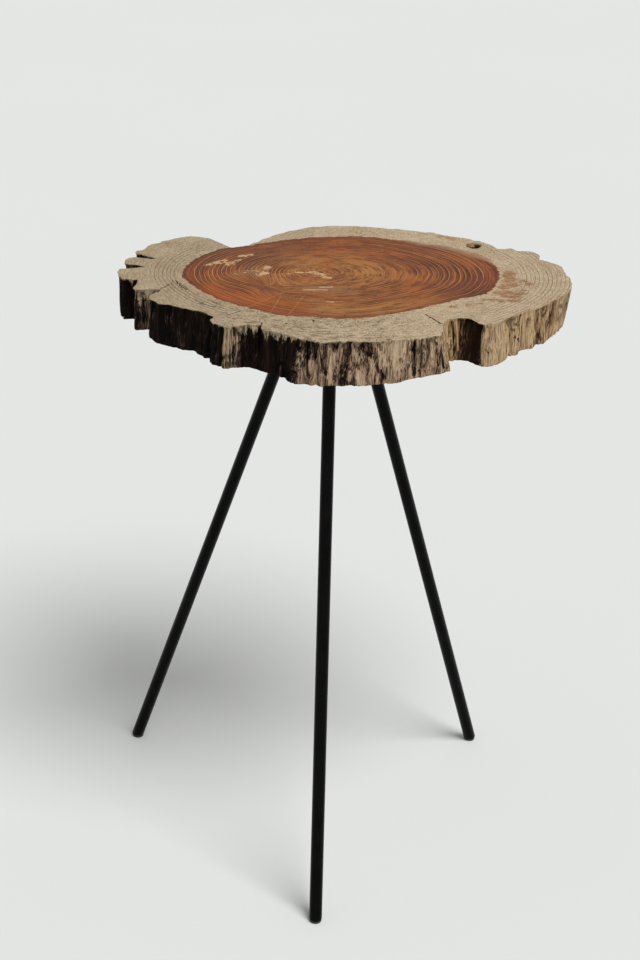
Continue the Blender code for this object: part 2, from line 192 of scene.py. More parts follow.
# Marks on the sawn face as (x, y, x, y, half width), in millimetres from the slab's middle
rot_marks_mm = [
    (-127.5, 31.5, -109.3, 46.0, 2.4), (-108.4, 33.9, -97.3, 46.8, 2.6), (-97.2, 56.2, -85.5, 60.8, 2.2),
    (-99.0, 12.0, -98.0, 16.0, 3.2), (-86.5, 18.2, -81.9, 19.3, 2.4), (-79.3, 10.8, -72.8, 14.8, 3.4),
    (-72.7, 24.8, -70.3, 30.0, 3.0), (-56.7, 12.6, -56.0, 15.0, 2.2), (-45.8, 17.5, -42.5, 18.2, 2.8),
    (-39.8, 18.8, -32.4, 19.3, 1.6), (-28.1, 19.0, -21.6, 14.5, 2.6), (-20.0, 8.1, -14.6, 6.0, 2.4),
]
pale_streak_marks_mm = [
    (-39.4, -23.8, -18.3, -22.6, 0.45), (-24.7, -16.5, -14.2, -15.9, 0.7), (-19.9, -51.2, -13.9, -50.9, 0.5),
]
scratch_marks_mm = [
    (-56.3, -28.6, -90.7, -67.2, 0.22), (-39.9, -37.6, -55.0, -82.3, 0.22),
    (-60.4, -38.8, -70.6, -78.4, 0.15),
]
grey_marks_mm = [(-36.0, -19.0, 2.0, -26.5, 1.0), (-96.0, 12.0, -80.0, 20.0, 1.0)]
glow_marks_mm = [
    (-119.3, -30.0, -53.5, -66.0, 17.0), (-46.0, 2.4, -36.0, 3.0, 4.0), (-18.0, 34.0, -12.0, 44.0, 5.0),
]
shade_marks_mm = [
    (86.0, -26.0, 122.0, 10.0, 9.0), (2.7, -44.6, 24.6, -37.4, 1.6), (104.7, 83.5, 120.5, 65.9, 0.9),
    (60.0, 0.0, 88.0, -14.0, 6.0), (-132.0, 42.0, -143.0, -4.0, 5.0),
]
stain_marks_mm = [
    (152.2, 28.0, 151.0, 4.0, 4.4), (146.0, -2.0, 154.0, 0.0, 3.2), (141.0, -7.5, 150.0, -4.0, 2.6),
    (137.5, -19.5, 156.0, -20.5, 4.2), (143.0, -27.5, 152.0, -28.5, 2.4), (163.0, 8.0, 167.6, 2.0, 2.0),
    (122.7, -37.8, 150.6, -38.6, 1.7), (90.3, -56.0, 118.0, -47.4, 0.2), (96.7, 121.5, 107.7, 115.5, 1.4),
]
crack_marks_mm = [
    (-168.7, -28.9, -158.8, -17.1, 0.25), (-158.8, -17.1, -157.0, -9.3, 0.12),
    (-154.8, -8.6, -151.0, -19.0, 0.45), (-151.0, -19.0, -144.7, -29.4, 0.45),
    (-150.8, -14.2, -141.6, -30.4, 0.15), (-136.0, -53.6, -129.7, -59.0, 0.35),
    (-133.3, -60.4, -119.1, -67.6, 0.3), (-124.5, -50.6, -116.5, -61.7, 0.15),
    (-109.5, -86.4, -96.4, -75.5, 0.15), (66.3, -75.2, 75.5, -91.0, 0.55), (75.5, -91.0, 77.5, -94.7, 1.1),
    (121.4, -93.7, 121.6, -94.0, 1.2), (-78.4, -101.5, -79.4, -109.3, 0.45),
    (-33.4, -92.4, -33.7, -98.0, 0.4), (-5.8, -81.4, -5.5, -83.0, 0.5), (-57.6, -101.5, -57.0, -102.0, 0.7),
    (-22.6, 20.4, -21.9, 19.5, 1.3), (155.7, -12.0, 164.7, -13.2, 0.2),
]

# Middle of the knot hole, as shares of half the slab's length and width, and the point that rings gather at
knot_shares = (0.609, 0.690)
fan_place_mm = (-76.1, -13.4)

# Lists of marks by the value that they give, each with the width of its soft edge in millimetres
side_marks = {"dark": (side_dark_marks, 2.2), "pale": (side_pale_marks, 2.2), "rust": (side_rust_marks, 1.6),
              "slit": (side_slit_marks, 0.9)}
face_marks = {"rot": (rot_marks_mm, 4.0), "glow": (glow_marks_mm, 12.0), "shade": (shade_marks_mm, 4.0),
              "stain": (stain_marks_mm, 4.5)}

# Where looks of the sawn face change, from one place to another: the tan front of the heart along y, and its
# left end, its right end and the sapwood from left to right along x. The sapwood's change is painted light:
# it darkens to the left and lightens to the right, as if lit from the right.
front_zone = (-0.03, 0.02)
left_zone = (-0.062, -0.020)
right_zone = (0.06, 0.10)
sapwood_light_falloff_zone = (-0.20, 0.12)

# Depths between which the knot hole turns brown and then black; the black is painted shade deep in the hole
brown_depths = (0.0006, 0.0016)
black_shade_depths = (0.0020, 0.0036)

# How far noise moves the edges of marks and the side's fibres, and how high each wood's fine relief stands
mark_jitter = 3.4 * millimetre
fibre_wander = 8 * millimetre
sawn_bump = 0.0008
split_bump = 0.0016

# Growth lines and thin sapwood rings for each unit of the ring value
growth_line_count = 32.0
thin_ring_count = 12.5

# How metal and rubber wear: metallic, roughness, how fine the wear is, how dusty, and how deep its scratches
worn_finishes = {
    "black_steel_rod": (1.0, 0.40, 60.0, 0.25, 0.0002),
    "weld_bead": (1.0, 0.5, 220.0, 0.15, 0.0002),
    "zinc_screw": (1.0, 0.34, 300.0, 0.1, 0.0001),
    "rubber_pad": (0.0, 0.7, 180.0, 0.5, 0.0001),
}

# Rows of points: from rim to inner loop and from there to the pole on both sawn faces, down the side as
# shares of its height, along a rod, down a glide and across the floor
top_row_counts = (40, 8)
under_row_counts = (7, 2)
side_row_shares = np.concatenate([[0.012, 0.03, 0.055, 0.085], np.linspace(0.12, 0.96, 18), [0.985, 1.0]])
rod_row_count = 24
glide_row_count = 22
floor_points = 9


def loop_blur(values, width):
    """Values round a loop, each averaged with its neighbours under a bell curve that is width samples wide."""
    turns = np.fft.fftfreq(len(values))
    bell = np.exp(-2 * (math.pi * turns * width) ** 2)
    shaped = bell.reshape(-1, *([1] * (values.ndim - 1)))
    return np.real(np.fft.ifft(np.fft.fft(values, axis=0) * shaped, axis=0))


def noise_sheet(across, down, columns, rows, seed):
    """Smooth noise from -1 to 1. Random numbers stand on a lattice that closes on itself across, and are
    blended between neighbours by 3t^2 - 2t^3. across and down run from 0 to 1."""
    lattice = np.random.default_rng(seed).uniform(-1, 1, (rows + 2, columns))
    column = np.floor(across * columns).astype(int)
    row = np.clip(np.floor(down * rows).astype(int), 0, rows)
    right = across * columns - column
    below = down * rows - row
    right = right * right * (3 - 2 * right)
    below = below * below * (3 - 2 * below)
    here, beside = column % columns, (column + 1) % columns
    upper = lattice[row, here] * (1 - right) + lattice[row, beside] * right
    lower = lattice[row + 1, here] * (1 - right) + lattice[row + 1, beside] * right
    return upper * (1 - below) + lower * below


def step_curve(value, low, high):
    """0 below low, 1 above high, and 3t^2 - 2t^3 between them."""
    share = np.clip((value - low) / (high - low), 0, 1)
    return share * share * (3 - 2 * share)


def grid_faces(rows, columns, closed_down=False):
    """Quads of a grid that closes on itself across, and down too if asked. Rows are counter-clockwise loops."""
    row = np.arange(rows if closed_down else rows - 1)[:, None]
    column = np.arange(columns)[None, :]
    below = (row + 1) % rows
    beside = (column + 1) % columns
    here, next_row = row * columns, below * columns
    corners = [here + column, next_row + column, next_row + beside, here + beside]
    return np.stack(corners, axis=-1).reshape(-1, 4)


def pole_faces(rows, columns):
    """The two fans of triangles that close a grid at its poles, which are its last two vertices."""
    column = np.arange(columns)
    beside = (column + 1) % columns
    last = (rows - 1) * columns
    upper = np.stack([np.full(columns, rows * columns), column, beside], axis=-1)
    lower = np.stack([last + column, np.full(columns, rows * columns + 1), last + beside], axis=-1)
    return np.vstack([upper, lower])


def make_mesh(name, points, quads, triangles=None):
    """A mesh from whole arrays of points and faces, shaded smooth."""
    corners = quads.ravel()
    starts = np.arange(len(quads)) * 4
    if triangles is not None:
        starts = np.concatenate([starts, len(corners) + np.arange(len(triangles)) * 3])
        corners = np.concatenate([corners, triangles.ravel()])
    mesh = bpy.data.meshes.new(name)
    mesh.vertices.add(len(points))
    mesh.vertices.foreach_set("co", points.astype(np.float32).ravel())
    mesh.loops.add(len(corners))
    mesh.loops.foreach_set("vertex_index", corners.astype(np.int32))
    mesh.polygons.add(len(starts))
    mesh.polygons.foreach_set("loop_start", starts.astype(np.int32))
    mesh.update(calc_edges=True)
    if mesh.validate():
        raise RuntimeError(f"{name}: the mesh has faces that can't be kept")
    mesh.shade_smooth()
    return mesh


def capped_mesh(name, rows, upper_pole, lower_pole):
    """A closed mesh from an array of loops, top to bottom, and the two points that close its ends."""
    points = np.vstack([rows.reshape(-1, 3), upper_pole, lower_pole])
    quads = grid_faces(rows.shape[0], rows.shape[1])
    return make_mesh(name, points, quads, pole_faces(rows.shape[0], rows.shape[1]))


def add_piece(name, mesh, materials, replaced):
    """Put a finished mesh in the scene, in place of its CAD nodes."""
    piece = bpy.data.objects.new(name, mesh)
    bpy.context.scene.collection.objects.link(piece)
    for material in materials:
        mesh.materials.append(material)
    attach(piece, "root")
    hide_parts(*replaced)


def give_values(mesh, name, values):
    """Store one number for each vertex, for the materials to read."""
    layer = mesh.attributes.new(name, "FLOAT", "POINT")
    layer.data.foreach_set("value", values.astype(np.float32).ravel())


class NodeBench:
    """Adds nodes to one tree and hands back an output of each, so that a material reads as a sum."""

    def __init__(self, tree):
        self.tree = tree

    def add(self, kind, inputs=None, output=0, **settings):
        node = self.tree.nodes.new(kind)
        for setting, value in settings.items():
            setattr(node, setting, value)
        for socket, value in (inputs or {}).items():
            if isinstance(value, bpy.types.NodeSocket):
                self.tree.links.new(value, node.inputs[socket])
            else:
                node.inputs[socket].default_value = value
        return node.outputs[output]

    def math(self, operation, first, second=0.0, third=0.0, clamp=False):
        return self.add("ShaderNodeMath", {0: first, 1: second, 2: third}, operation=operation, use_clamp=clamp)

    plus = partialmethod(math, "ADD")
    minus = partialmethod(math, "SUBTRACT")
    times = partialmethod(math, "MULTIPLY")
    larger = partialmethod(math, "MAXIMUM")
    linear = partialmethod(math, "MULTIPLY_ADD")

    def gap(self, first, second):
        """How far two values are apart."""
        return self.math("ABSOLUTE", self.minus(first, second))

    def about_zero(self, value, size):
        """A value from 0 to 1 moved to lie about zero and scaled."""
        return self.linear(value, size, -size / 2)

    def step(self, value, low, high, to_low=0.0, to_high=1.0):
        inputs = {"Value": value, "From Min": low, "From Max": high, "To Min": to_low, "To Max": to_high}
        return self.add("ShaderNodeMapRange", inputs, interpolation_type="SMOOTHSTEP")

    def blend(self, factor, first, second):
        """A number between two others."""
        return self.add("ShaderNodeMix", {0: factor, 2: first, 3: second}, 0)

    def vector(self, operation, first, second=(0, 0, 0), output=0):
        return self.add("ShaderNodeVectorMath", {0: first, 1: second}, output, operation=operation)

    def scaled(self, vector, scale):
        return self.add("ShaderNodeVectorMath", {0: vector, "Scale": scale}, operation="SCALE")

    def with_height(self, vector, height_share):
        """A vector that keeps only a share of its height."""
        return self.vector("MULTIPLY", vector, (1.0, 1.0, height_share))

    def join(self, x, y, z):
        return self.add("ShaderNodeCombineXYZ", {0: x, 1: y, 2: z})

    def split(self, vector):
        return self.add("ShaderNodeSeparateXYZ", {0: vector}).node.outputs

    def noise(self, place, scale, detail=2.0, roughness=0.5, distortion=0.0):
        inputs = {"Vector": place, "Scale": scale, "Detail": detail, "Roughness": roughness,
                  "Distortion": distortion}
        return self.add("ShaderNodeTexNoise", inputs, "Fac")

    def wobble(self, place, scale, detail, reach):
        """A vector that noise makes wander, by up to half of reach each way."""
        noise = self.add("ShaderNodeTexNoise", {"Vector": place, "Scale": scale, "Detail": detail}, "Color")
        return self.scaled(self.vector("SUBTRACT", noise, (0.5, 0.5, 0.5)), reach)

    def chance(self, number):
        """A number from 0 to 1 that is random for each whole number."""
        return self.add("ShaderNodeTexWhiteNoise", {"W": number}, "Value", noise_dimensions="1D")

    def mix(self, factor, first, second):
        """A colour between two others."""
        inputs = {0: factor, 6: as_colour(first), 7: as_colour(second)}
        return self.add("ShaderNodeMix", inputs, 2, data_type="RGBA")

    def ramp(self, factor, stops):
        """A colour ramp through (position, colour) stops."""
        output = self.add("ShaderNodeValToRGB", {"Fac": factor})
        elements = output.node.color_ramp.elements
        while len(elements) < len(stops):
            elements.new(1.0)
        for element, (position, colour) in zip(elements, stops):
            element.position = position
            element.color = as_colour(colour)
        return output

    def bump(self, height, strength, distance):
        return self.add("ShaderNodeBump", {"Strength": strength, "Distance": distance, "Height": height})

    def attribute(self, name):
        return self.add("ShaderNodeAttribute", output="Fac", attribute_name=name)

    def place(self):
        return self.add("ShaderNodeTexCoord", output="Object")

    def group(self, tree, inputs, output=0):
        return self.add("ShaderNodeGroup", inputs, output, node_tree=tree)


def as_colour(value):
    """A colour with its alpha, or a socket as it is."""
    if isinstance(value, bpy.types.NodeSocket) or len(value) == 4:
        return value
    return (*value, 1.0)


def new_group(name, inputs, outputs):
    """An empty shader group with named sockets, a bench to fill it on, and what comes in and goes out."""
    tree = bpy.data.node_groups.new(name, "ShaderNodeTree")
    for socket, kind in inputs.items():
        tree.interface.new_socket(name=socket, in_out="INPUT", socket_type=kind)
    for socket, kind in outputs.items():
        tree.interface.new_socket(name=socket, in_out="OUTPUT", socket_type=kind)
    source = tree.nodes.new("NodeGroupInput").outputs
    result = tree.nodes.new("NodeGroupOutput").inputs
    return tree, NodeBench(tree), source, result


def new_material(name, shader_values):
    """A Principled material with its plain values set, and a bench for the rest."""
    material = bpy.data.materials.new(name)
    material.use_nodes = True
    shader = material.node_tree.nodes["Principled BSDF"]
    for socket, value in shader_values.items():
        shader.inputs[socket].default_value = value
    return material, NodeBench(material.node_tree), shader.inputs


def finish_shader(bench, shader, colour, rough, normal):
    """Hand the three things that vary over a surface to its Principled shader."""
    bench.tree.links.new(colour, shader["Base Color"])
    bench.tree.links.new(rough, shader["Roughness"])
    bench.tree.links.new(normal, shader["Normal"])


def streak_group():
    """Group: a mask along one straight mark. It is 1 within the half width of the line from start to end, and
    falls to 0 over the softness: distance is |p - start - t (end - start)|, with t held between 0 and 1. The
    stronger of it and the mask before it comes out. That mask also moves the place by a hair, which makes
    Cycles work the marks out one after another and so keeps few values on its stack."""
    sockets = {"Place": "NodeSocketVector", "Start": "NodeSocketVector", "End": "NodeSocketVector",
               "Half Width": "NodeSocketFloat", "Softness": "NodeSocketFloat", "Before": "NodeSocketFloat"}
    tree, bench, source, result = new_group("straight_mark", sockets, {"Mask": "NodeSocketFloat"})
    span = bench.vector("SUBTRACT", source["End"], source["Start"])
    hair = bench.join(bench.times(source["Before"], 1e-7), 0.0, 0.0)
    offset = bench.vector("SUBTRACT", bench.vector("ADD", source["Place"], hair), source["Start"])
    along = bench.vector("DOT_PRODUCT", offset, span, "Value")
    length = bench.vector("DOT_PRODUCT", span, span, "Value")
    nearest = bench.scaled(span, bench.math("DIVIDE", along, length, clamp=True))
    distance = bench.vector("LENGTH", bench.vector("SUBTRACT", offset, nearest), output="Value")
    past = bench.math("DIVIDE", bench.minus(distance, source["Half Width"]), source["Softness"], clamp=True)
    mask = bench.minus(1.0, past)
    tree.links.new(bench.larger(mask, source["Before"]), result["Mask"])
    return tree


def sapwood_group(colours):
    """Group: pale outer wood. Broad blotches, fine grain, lines that follow the rings and torn fibres add to
    one value, which picks the colour between beige-brown and cream. Dark gaps run where the torn fibres'
    value is near one half, and short brown dashes along the rings and small pores lie over it."""
    tree, bench, source, result = new_group(
        "sapwood", {"Place": "NodeSocketVector", "Ring Place": "NodeSocketVector",
                    "Torn Place": "NodeSocketVector", "Lines": "NodeSocketFloat", "Torn": "NodeSocketFloat"},
        {"Color": "NodeSocketColor", "Height": "NodeSocketFloat"})
    blotch = bench.noise(source["Place"], 40.0, 4.0, 0.6)
    patch = bench.noise(source["Place"], 150.0, 3.0, 0.6)
    grain = bench.noise(source["Place"], 640.0, 4.0, 0.85)
    rings = bench.noise(source["Ring Place"], 1.0, 3.0, 0.6)
    torn = bench.noise(source["Torn Place"], 1.0, 4.0, 0.68, 0.5)
    value = bench.plus(bench.about_zero(blotch, 0.8), bench.about_zero(grain, 3.0))
    value = bench.plus(value, bench.times(bench.about_zero(rings, 1.2), source["Lines"]))
    value = bench.plus(value, bench.times(bench.about_zero(torn, 1.5), source["Torn"]))
    value = bench.plus(value, 0.585)
    colour = bench.ramp(value, [(0.04, colours.sapwood_deep), (0.30, colours.sapwood_beige),
                                (0.60, colours.sapwood_cream), (0.95, colours.sapwood_flake)])
    gaps = bench.times(bench.step(bench.gap(torn, 0.46), 0.018, 0.050, 1.0, 0.0), source["Torn"])
    gaps = bench.times(gaps, bench.step(patch, 0.46, 0.57, 0.10, 0.85))
    dashes = bench.step(rings, 0.62, 0.70, 0.0, 0.60)
    pores = bench.step(bench.noise(source["Place"], 700.0, 1.0), 0.63, 0.70)
    pores = bench.times(pores, bench.step(patch, 0.40, 0.56, 0.95, 0.15))
    dark = bench.larger(bench.larger(gaps, dashes), pores)
    tree.links.new(bench.mix(dark, colour, colours.pore), result["Color"])
    tree.links.new(bench.minus(value, dark), result["Height"])
    return tree


def wear_group():
    """Group: handled metal and rubber. Cloudy patches and fine lines drawn along Z come out as values about
    zero, and specks of dust as a mask that lies on faces that look up."""
    tree, bench, source, result = new_group(
        "handling_wear", {"Place": "NodeSocketVector", "Scale": "NodeSocketFloat", "Dust": "NodeSocketFloat"},
        {"Cloud": "NodeSocketFloat", "Scratches": "NodeSocketFloat", "Dust": "NodeSocketFloat"})
    place = bench.scaled(source["Place"], source["Scale"])
    cloud = bench.noise(place, 1.0, 5.0, 0.6)
    drawn = bench.noise(bench.vector("MULTIPLY", place, (14.0, 14.0, 0.5)), 1.0, 3.0, 0.6)
    specks = bench.step(bench.noise(place, 22.0, 2.0), 0.64, 0.72)
    upward = bench.split(bench.add("ShaderNodeNewGeometry", output="Normal"))["Z"]
    dust = bench.times(specks, bench.step(upward, -0.2, 0.9))
    tree.links.new(bench.minus(cloud, 0.5), result["Cloud"])
    tree.links.new(bench.minus(drawn, 0.5), result["Scratches"])
    tree.links.new(bench.times(dust, source["Dust"]), result["Dust"])
    return tree


def slab_middle():
    """The middle of the slab's box."""
    return (slab_low + slab_high) / 2


def pith_place():
    """The pith, at the height of the sawn face."""
    half = (slab_high - slab_low) / 2
    return slab_middle() + Vector((half.x * pith_shares[0], half.y * pith_shares[1], half.z))


def face_place(x_mm, y_mm):
    """A point in plan, from millimetres off the slab's middle."""
    middle = slab_middle()
    return middle.x + x_mm * millimetre, middle.y + y_mm * millimetre, 0.0


def ring_place(bench, place, ring, turns, rings):
    """Coordinates that follow the tree's rings: the direction from the pith, stretched by turns, and the ring
    value times rings. Noise read there runs in arcs round the pith."""
    offset = bench.with_height(bench.vector("SUBTRACT", place, tuple(pith_place())), 0.0)
    direction = bench.scaled(bench.vector("NORMALIZE", offset), turns)
    return bench.vector("ADD", direction, bench.join(0.0, 0.0, bench.times(ring, rings)))


def marks_mask(bench, group, place, marks, softness_mm):
    """The strongest of a list of straight marks at each point."""
    total = 0.0
    for start_x, start_y, end_x, end_y, half_width in marks:
        inputs = {"Place": place, "Start": face_place(start_x, start_y), "End": face_place(end_x, end_y),
                  "Half Width": half_width * millimetre, "Softness": softness_mm * millimetre, "Before": total}
        total = bench.group(group, inputs)
    return total


def ring_fan(bench, place):
    """A shift of the ring value that gathers the rings into a fan at one point. Going round that point it
    rises evenly from -0.17 at the right, over the rear, to 0.15 at the left, and falls back along the front.
    It fades to nothing 48 mm away and in the point itself. Comes with a value that is 0.9 close by and 0 from
    40 mm on, on the rear side only."""
    offset = bench.with_height(bench.vector("SUBTRACT", place, face_place(*fan_place_mm)), 0.0)
    distance = bench.vector("LENGTH", offset, output="Value")
    ahead = bench.vector("DOT_PRODUCT", offset, (-0.94, 0.34, 0.0), "Value")
    aside = bench.vector("DOT_PRODUCT", offset, (-0.34, -0.94, 0.0), "Value")
    turn = bench.math("ARCTAN2", aside, ahead)
    limits = {"Value": turn, "From Min": -math.pi, "From Max": 0.35, "To Min": -0.17, "To Max": 0.15}
    over = bench.add("ShaderNodeMapRange", limits)
    beneath = bench.step(turn, 1.6, math.pi, 0.0, -0.32)
    fade = bench.times(bench.step(distance, 0.0, 0.048, 1.0, 0.0), bench.step(distance, 0.0, 0.002))
    near = bench.step(distance, 0.010, 0.040, 0.90, 0.0)
    near = bench.times(near, bench.step(turn, 0.1, 0.6, 1.0, 0.0))
    return bench.times(bench.plus(over, beneath), fade), near


def growth_lines(bench, place, wavy, zone):
    """Pale growth lines of the heart, each a little off its even place and of its own strength, and the
    darker late wood that builds up before each."""
    counted = bench.times(wavy, growth_line_count)
    chance = bench.chance(bench.math("FLOOR", counted))
    past = bench.minus(bench.math("FRACT", counted), bench.linear(chance, 0.16, 0.42))
    line = bench.step(bench.math("ABSOLUTE", past), 0.025, 0.135, 1.0, 0.0)
    line = bench.times(line, bench.step(wavy, 0.935, 0.965, 1.0, 0.0))
    broken = bench.step(bench.noise(ring_place(bench, place, wavy, 2.4, 9.0), 1.0, 2.0), 0.25, 0.55, 0.5, 1.0)
    strength = bench.times(bench.step(chance, 0.0, 0.7, 0.65, 1.0), zone)
    late = bench.times(bench.step(past, -0.45, -0.05), bench.math("LESS_THAN", past, 0.0))
    return bench.times(line, bench.times(broken, strength)), late


def face_base(bench):
    """What the parts of the sawn face share: its place, how far its front and its two ends reach, and the
    tree's ring value, which two noises make wander and the fan gathers."""
    place = bench.place()
    ring = bench.attribute("ring")
    slow = bench.noise(place, 13.0, 2.0, 0.5)
    quick = bench.noise(place, 95.0, 2.0, 0.5)
    wavy = bench.plus(ring, bench.about_zero(slow, 0.045))
    wavy = bench.plus(wavy, bench.about_zero(quick, 0.004))
    fan, near_fan = ring_fan(bench, place)
    wavy = bench.plus(wavy, fan)
    x, y, z = bench.split(place)
    front = bench.step(y, *front_zone, 0.75, 0.0)
    ends = bench.larger(bench.step(x, *left_zone, 1.0, 0.0), bench.step(x, *right_zone, 0.0, 0.8))
    return SimpleNamespace(place=place, ring=ring, quick=quick, wavy=wavy, near_fan=near_fan, x=x, z=z,
                           front=front, ends=ends)


def heart_wood(bench, face, colours):
    """Heartwood. Fine growth lines, broad bands, grain and clouds add to one value that picks its colour, tan
    round the pith and in front, glowing on the left and darker at its edge. Dark dashes and the counted pale
    lines lie over it."""
    place, wavy, ends = face.place, face.wavy, face.ends
    glow = bench.step(bench.attribute("glow"), 0.1, 0.9)
    line_zone = bench.times(bench.linear(ends, 0.52, 0.45), bench.linear(glow, -0.65, 1.0))
    line_zone = bench.larger(line_zone, face.near_fan)
    face.line, late = growth_lines(bench, place, wavy, line_zone)
    face.fine = bench.noise(ring_place(bench, place, wavy, 2.6, 44.0), 1.0, 5.0, 0.74)
    broad = bench.noise(ring_place(bench, place, wavy, 1.3, 9.0), 1.0, 2.0, 0.5)
    face.grain = bench.noise(place, 620.0, 4.0, 0.7)
    face.cloud = bench.noise(place, 26.0, 3.0, 0.55)
    value = bench.plus(bench.about_zero(face.fine, 3.4), bench.about_zero(broad, 1.2))
    small = bench.plus(bench.about_zero(face.grain, 1.1), bench.about_zero(face.cloud, 1.0))
    value = bench.plus(value, small)
    late = bench.times(late, bench.linear(ends, -0.34, -0.12))
    value = bench.plus(value, bench.plus(late, bench.linear(ends, -0.12, 0.56)))
    face.value = value

    heart = bench.ramp(value, [(0.10, colours.heart_dark), (0.45, colours.heart_red),
                               (0.85, colours.heart_orange)])
    centre = bench.larger(bench.step(wavy, 0.10, 0.66, 0.85, 0.0), face.front)
    heart = bench.mix(centre, heart, bench.ramp(value, [(0.10, colours.heart_red), (0.75, colours.heart_tan)]))
    edge_shade = bench.step(wavy, 0.84, 0.985, 0.0, 0.30)
    heart = bench.mix(edge_shade, heart, colours.heart_purple)
    glow_strength = bench.times(glow, 0.85)
    glowing = bench.mix(bench.plus(value, 0.0, clamp=True), colours.heart_glow_deep, colours.heart_glow)
    heart = bench.mix(glow_strength, heart, glowing)
    dashes = bench.noise(ring_place(bench, place, wavy, 5.0, 52.0), 1.0, 2.0, 0.5)
    dashes = bench.times(bench.step(dashes, 0.58, 0.68, 0.0, 0.85), bench.minus(1.0, ends))
    heart = bench.mix(dashes, heart, colours.heart_dark)
    return bench.mix(face.line, heart, colours.heart_line)


def marked_heart(bench, face, colours, streak, heart):
    """The heartwood with its marks: dark shades, pale scratches, grey patches and pale rot, whose edges noise
    breaks up."""
    jitter = bench.wobble(face.place, 300.0, 3.0, mark_jitter)
    face.flat_place = bench.with_height(bench.vector("ADD", face.place, jitter), 0.0)
    shade = bench.step(bench.attribute("shade"), 0.15, 0.80)
    shade = bench.times(shade, bench.step(face.fine, 0.40, 0.58, 0.80, 0.05))
    heart = bench.mix(shade, heart, colours.heart_purple)
    scratch = marks_mask(bench, streak, face.flat_place, scratch_marks_mm, 0.45)
    heart = bench.mix(bench.times(scratch, 0.40), heart, colours.heart_line)
    grey = marks_mask(bench, streak, face.flat_place, grey_marks_mm, 11.0)
    grey = bench.times(grey, bench.step(face.fine, 0.30, 0.66, 0.60, 0.15))
    heart = bench.mix(grey, heart, colours.sapwood_deep)
    face.broken_edge = bench.noise(face.place, 170.0, 4.0, 0.7, 0.8)
    rot = bench.plus(bench.attribute("rot"), bench.about_zero(face.broken_edge, 1.7))
    rot = bench.step(rot, 0.47, 0.58)
    face.rot = bench.larger(rot, marks_mask(bench, streak, face.flat_place, pale_streak_marks_mm, 0.9))
    rot_fill = bench.times(face.rot, bench.step(face.grain, 0.36, 0.60, 0.55, 0.95))
    return bench.mix(rot_fill, heart, colours.rot)


def sap_wood(bench, face, colours, sapwood):
    """Sapwood with its stains and its thin dark rings, with painted light: darker to the left and lighter to
    the right, as if lit from the right. Comes with its height.
    """
    end_lines = bench.attribute("ends")
    inputs = {"Place": face.place, "Ring Place": ring_place(bench, face.place, face.wavy, 15.0, 46.0),
              "Torn Place": ring_place(bench, face.place, face.wavy, 15.0, 24.0),
              "Lines": bench.linear(end_lines, 0.3, 0.5), "Torn": bench.attribute("torn")}
    sap = bench.group(sapwood, inputs, "Color")
    height = sap.node.outputs["Height"]
    # Painted light: the sapwood darkens to the left and lightens to the right, as if lit from the right.
    sap = bench.scaled(sap, bench.step(face.x, *sapwood_light_falloff_zone, 0.93, 1.14))
    radial = bench.noise(bench.vector("MULTIPLY", face.place, (0.30, 1.0, 1.0)), 420.0, 4.0, 0.75)
    stain = bench.plus(bench.attribute("stain"), bench.about_zero(face.broken_edge, 2.2))
    stain = bench.times(bench.step(stain, 0.14, 0.56), bench.step(radial, 0.38, 0.58, 0.42, 1.0))
    sap = bench.mix(stain, sap, colours.stain)
    counted = bench.times(face.ring, thin_ring_count)
    chance = bench.chance(bench.math("FLOOR", counted))
    thin = bench.step(bench.gap(bench.math("FRACT", counted), 0.5), 0.04, 0.15, 1.0, 0.0)
    thin = bench.times(thin, bench.step(chance, 0.0, 0.6, 0.45, 0.85))
    thin = bench.times(thin, bench.step(face.cloud, 0.36, 0.52, 0.5, 1.0))
    return bench.mix(bench.times(thin, end_lines), sap, colours.pore), height


def sawn_wood(colours, sapwood, streak):
    """The sawn faces: heartwood inside the heart's ragged edge and sapwood outside it, with cracks and the
    knot hole, which is brown round its burl and painted black as shade further down. The underside is greyed."""
    material, bench, shader = new_material("sawn_wood", {"Roughness": 0.6, "Specular IOR Level": 0.12})
    face = face_base(bench)
    heart = heart_wood(bench, face, colours)
    heart = marked_heart(bench, face, colours, streak, heart)
    sap, sap_height = sap_wood(bench, face, colours, sapwood)

    edge = bench.plus(face.ring, bench.about_zero(bench.noise(face.place, 330.0, 4.0, 0.6), 0.05))
    soft = bench.times(bench.attribute("faded"), 0.09)
    limits = {"Value": edge, "From Min": bench.minus(0.992, soft), "From Max": bench.plus(1.008, soft),
              "To Min": 1.0, "To Max": 0.0}
    in_heart = bench.add("ShaderNodeMapRange", limits, interpolation_type="SMOOTHSTEP")
    colour = bench.mix(in_heart, sap, heart)
    crack = marks_mask(bench, streak, face.flat_place, crack_marks_mm, 0.45)
    crack = bench.times(crack, bench.step(face.grain, 0.36, 0.52, 0.35, 1.0))
    under = bench.attribute("under")
    depth = bench.minus(slab_high.z, face.z)
    depth = bench.times(depth, bench.minus(1.0, under))
    burl = bench.mix(bench.step(face.quick, 0.35, 0.62), colours.pore, colours.stain)
    colour = bench.mix(bench.step(depth, *brown_depths, 0.0, 0.85), colour, burl)
    # Painted shade: the knot hole turns black from 2 to 3.6 mm down, and the cracks are drawn in the same
    # black.
    knot_shade_and_cracks = bench.larger(bench.step(depth, *black_shade_depths), crack)
    colour = bench.mix(bench.times(knot_shade_and_cracks, 0.98), colour, colours.crack)
    colour = bench.mix(bench.times(under, 0.55), colour, colours.underside)

    heart_height = bench.linear(face.line, 0.30, bench.times(face.value, 0.35))
    height = bench.blend(in_heart, sap_height, heart_height)
    height = bench.minus(height, bench.times(knot_shade_and_cracks, 1.5))
    height = bench.minus(height, bench.times(face.rot, 0.35))
    normal = bench.bump(height, 0.75, sawn_bump)
    rough = bench.blend(in_heart, 0.82, bench.linear(face.fine, 0.22, 0.45))
    finish_shader(bench, shader, colour, rough, normal)
    return material


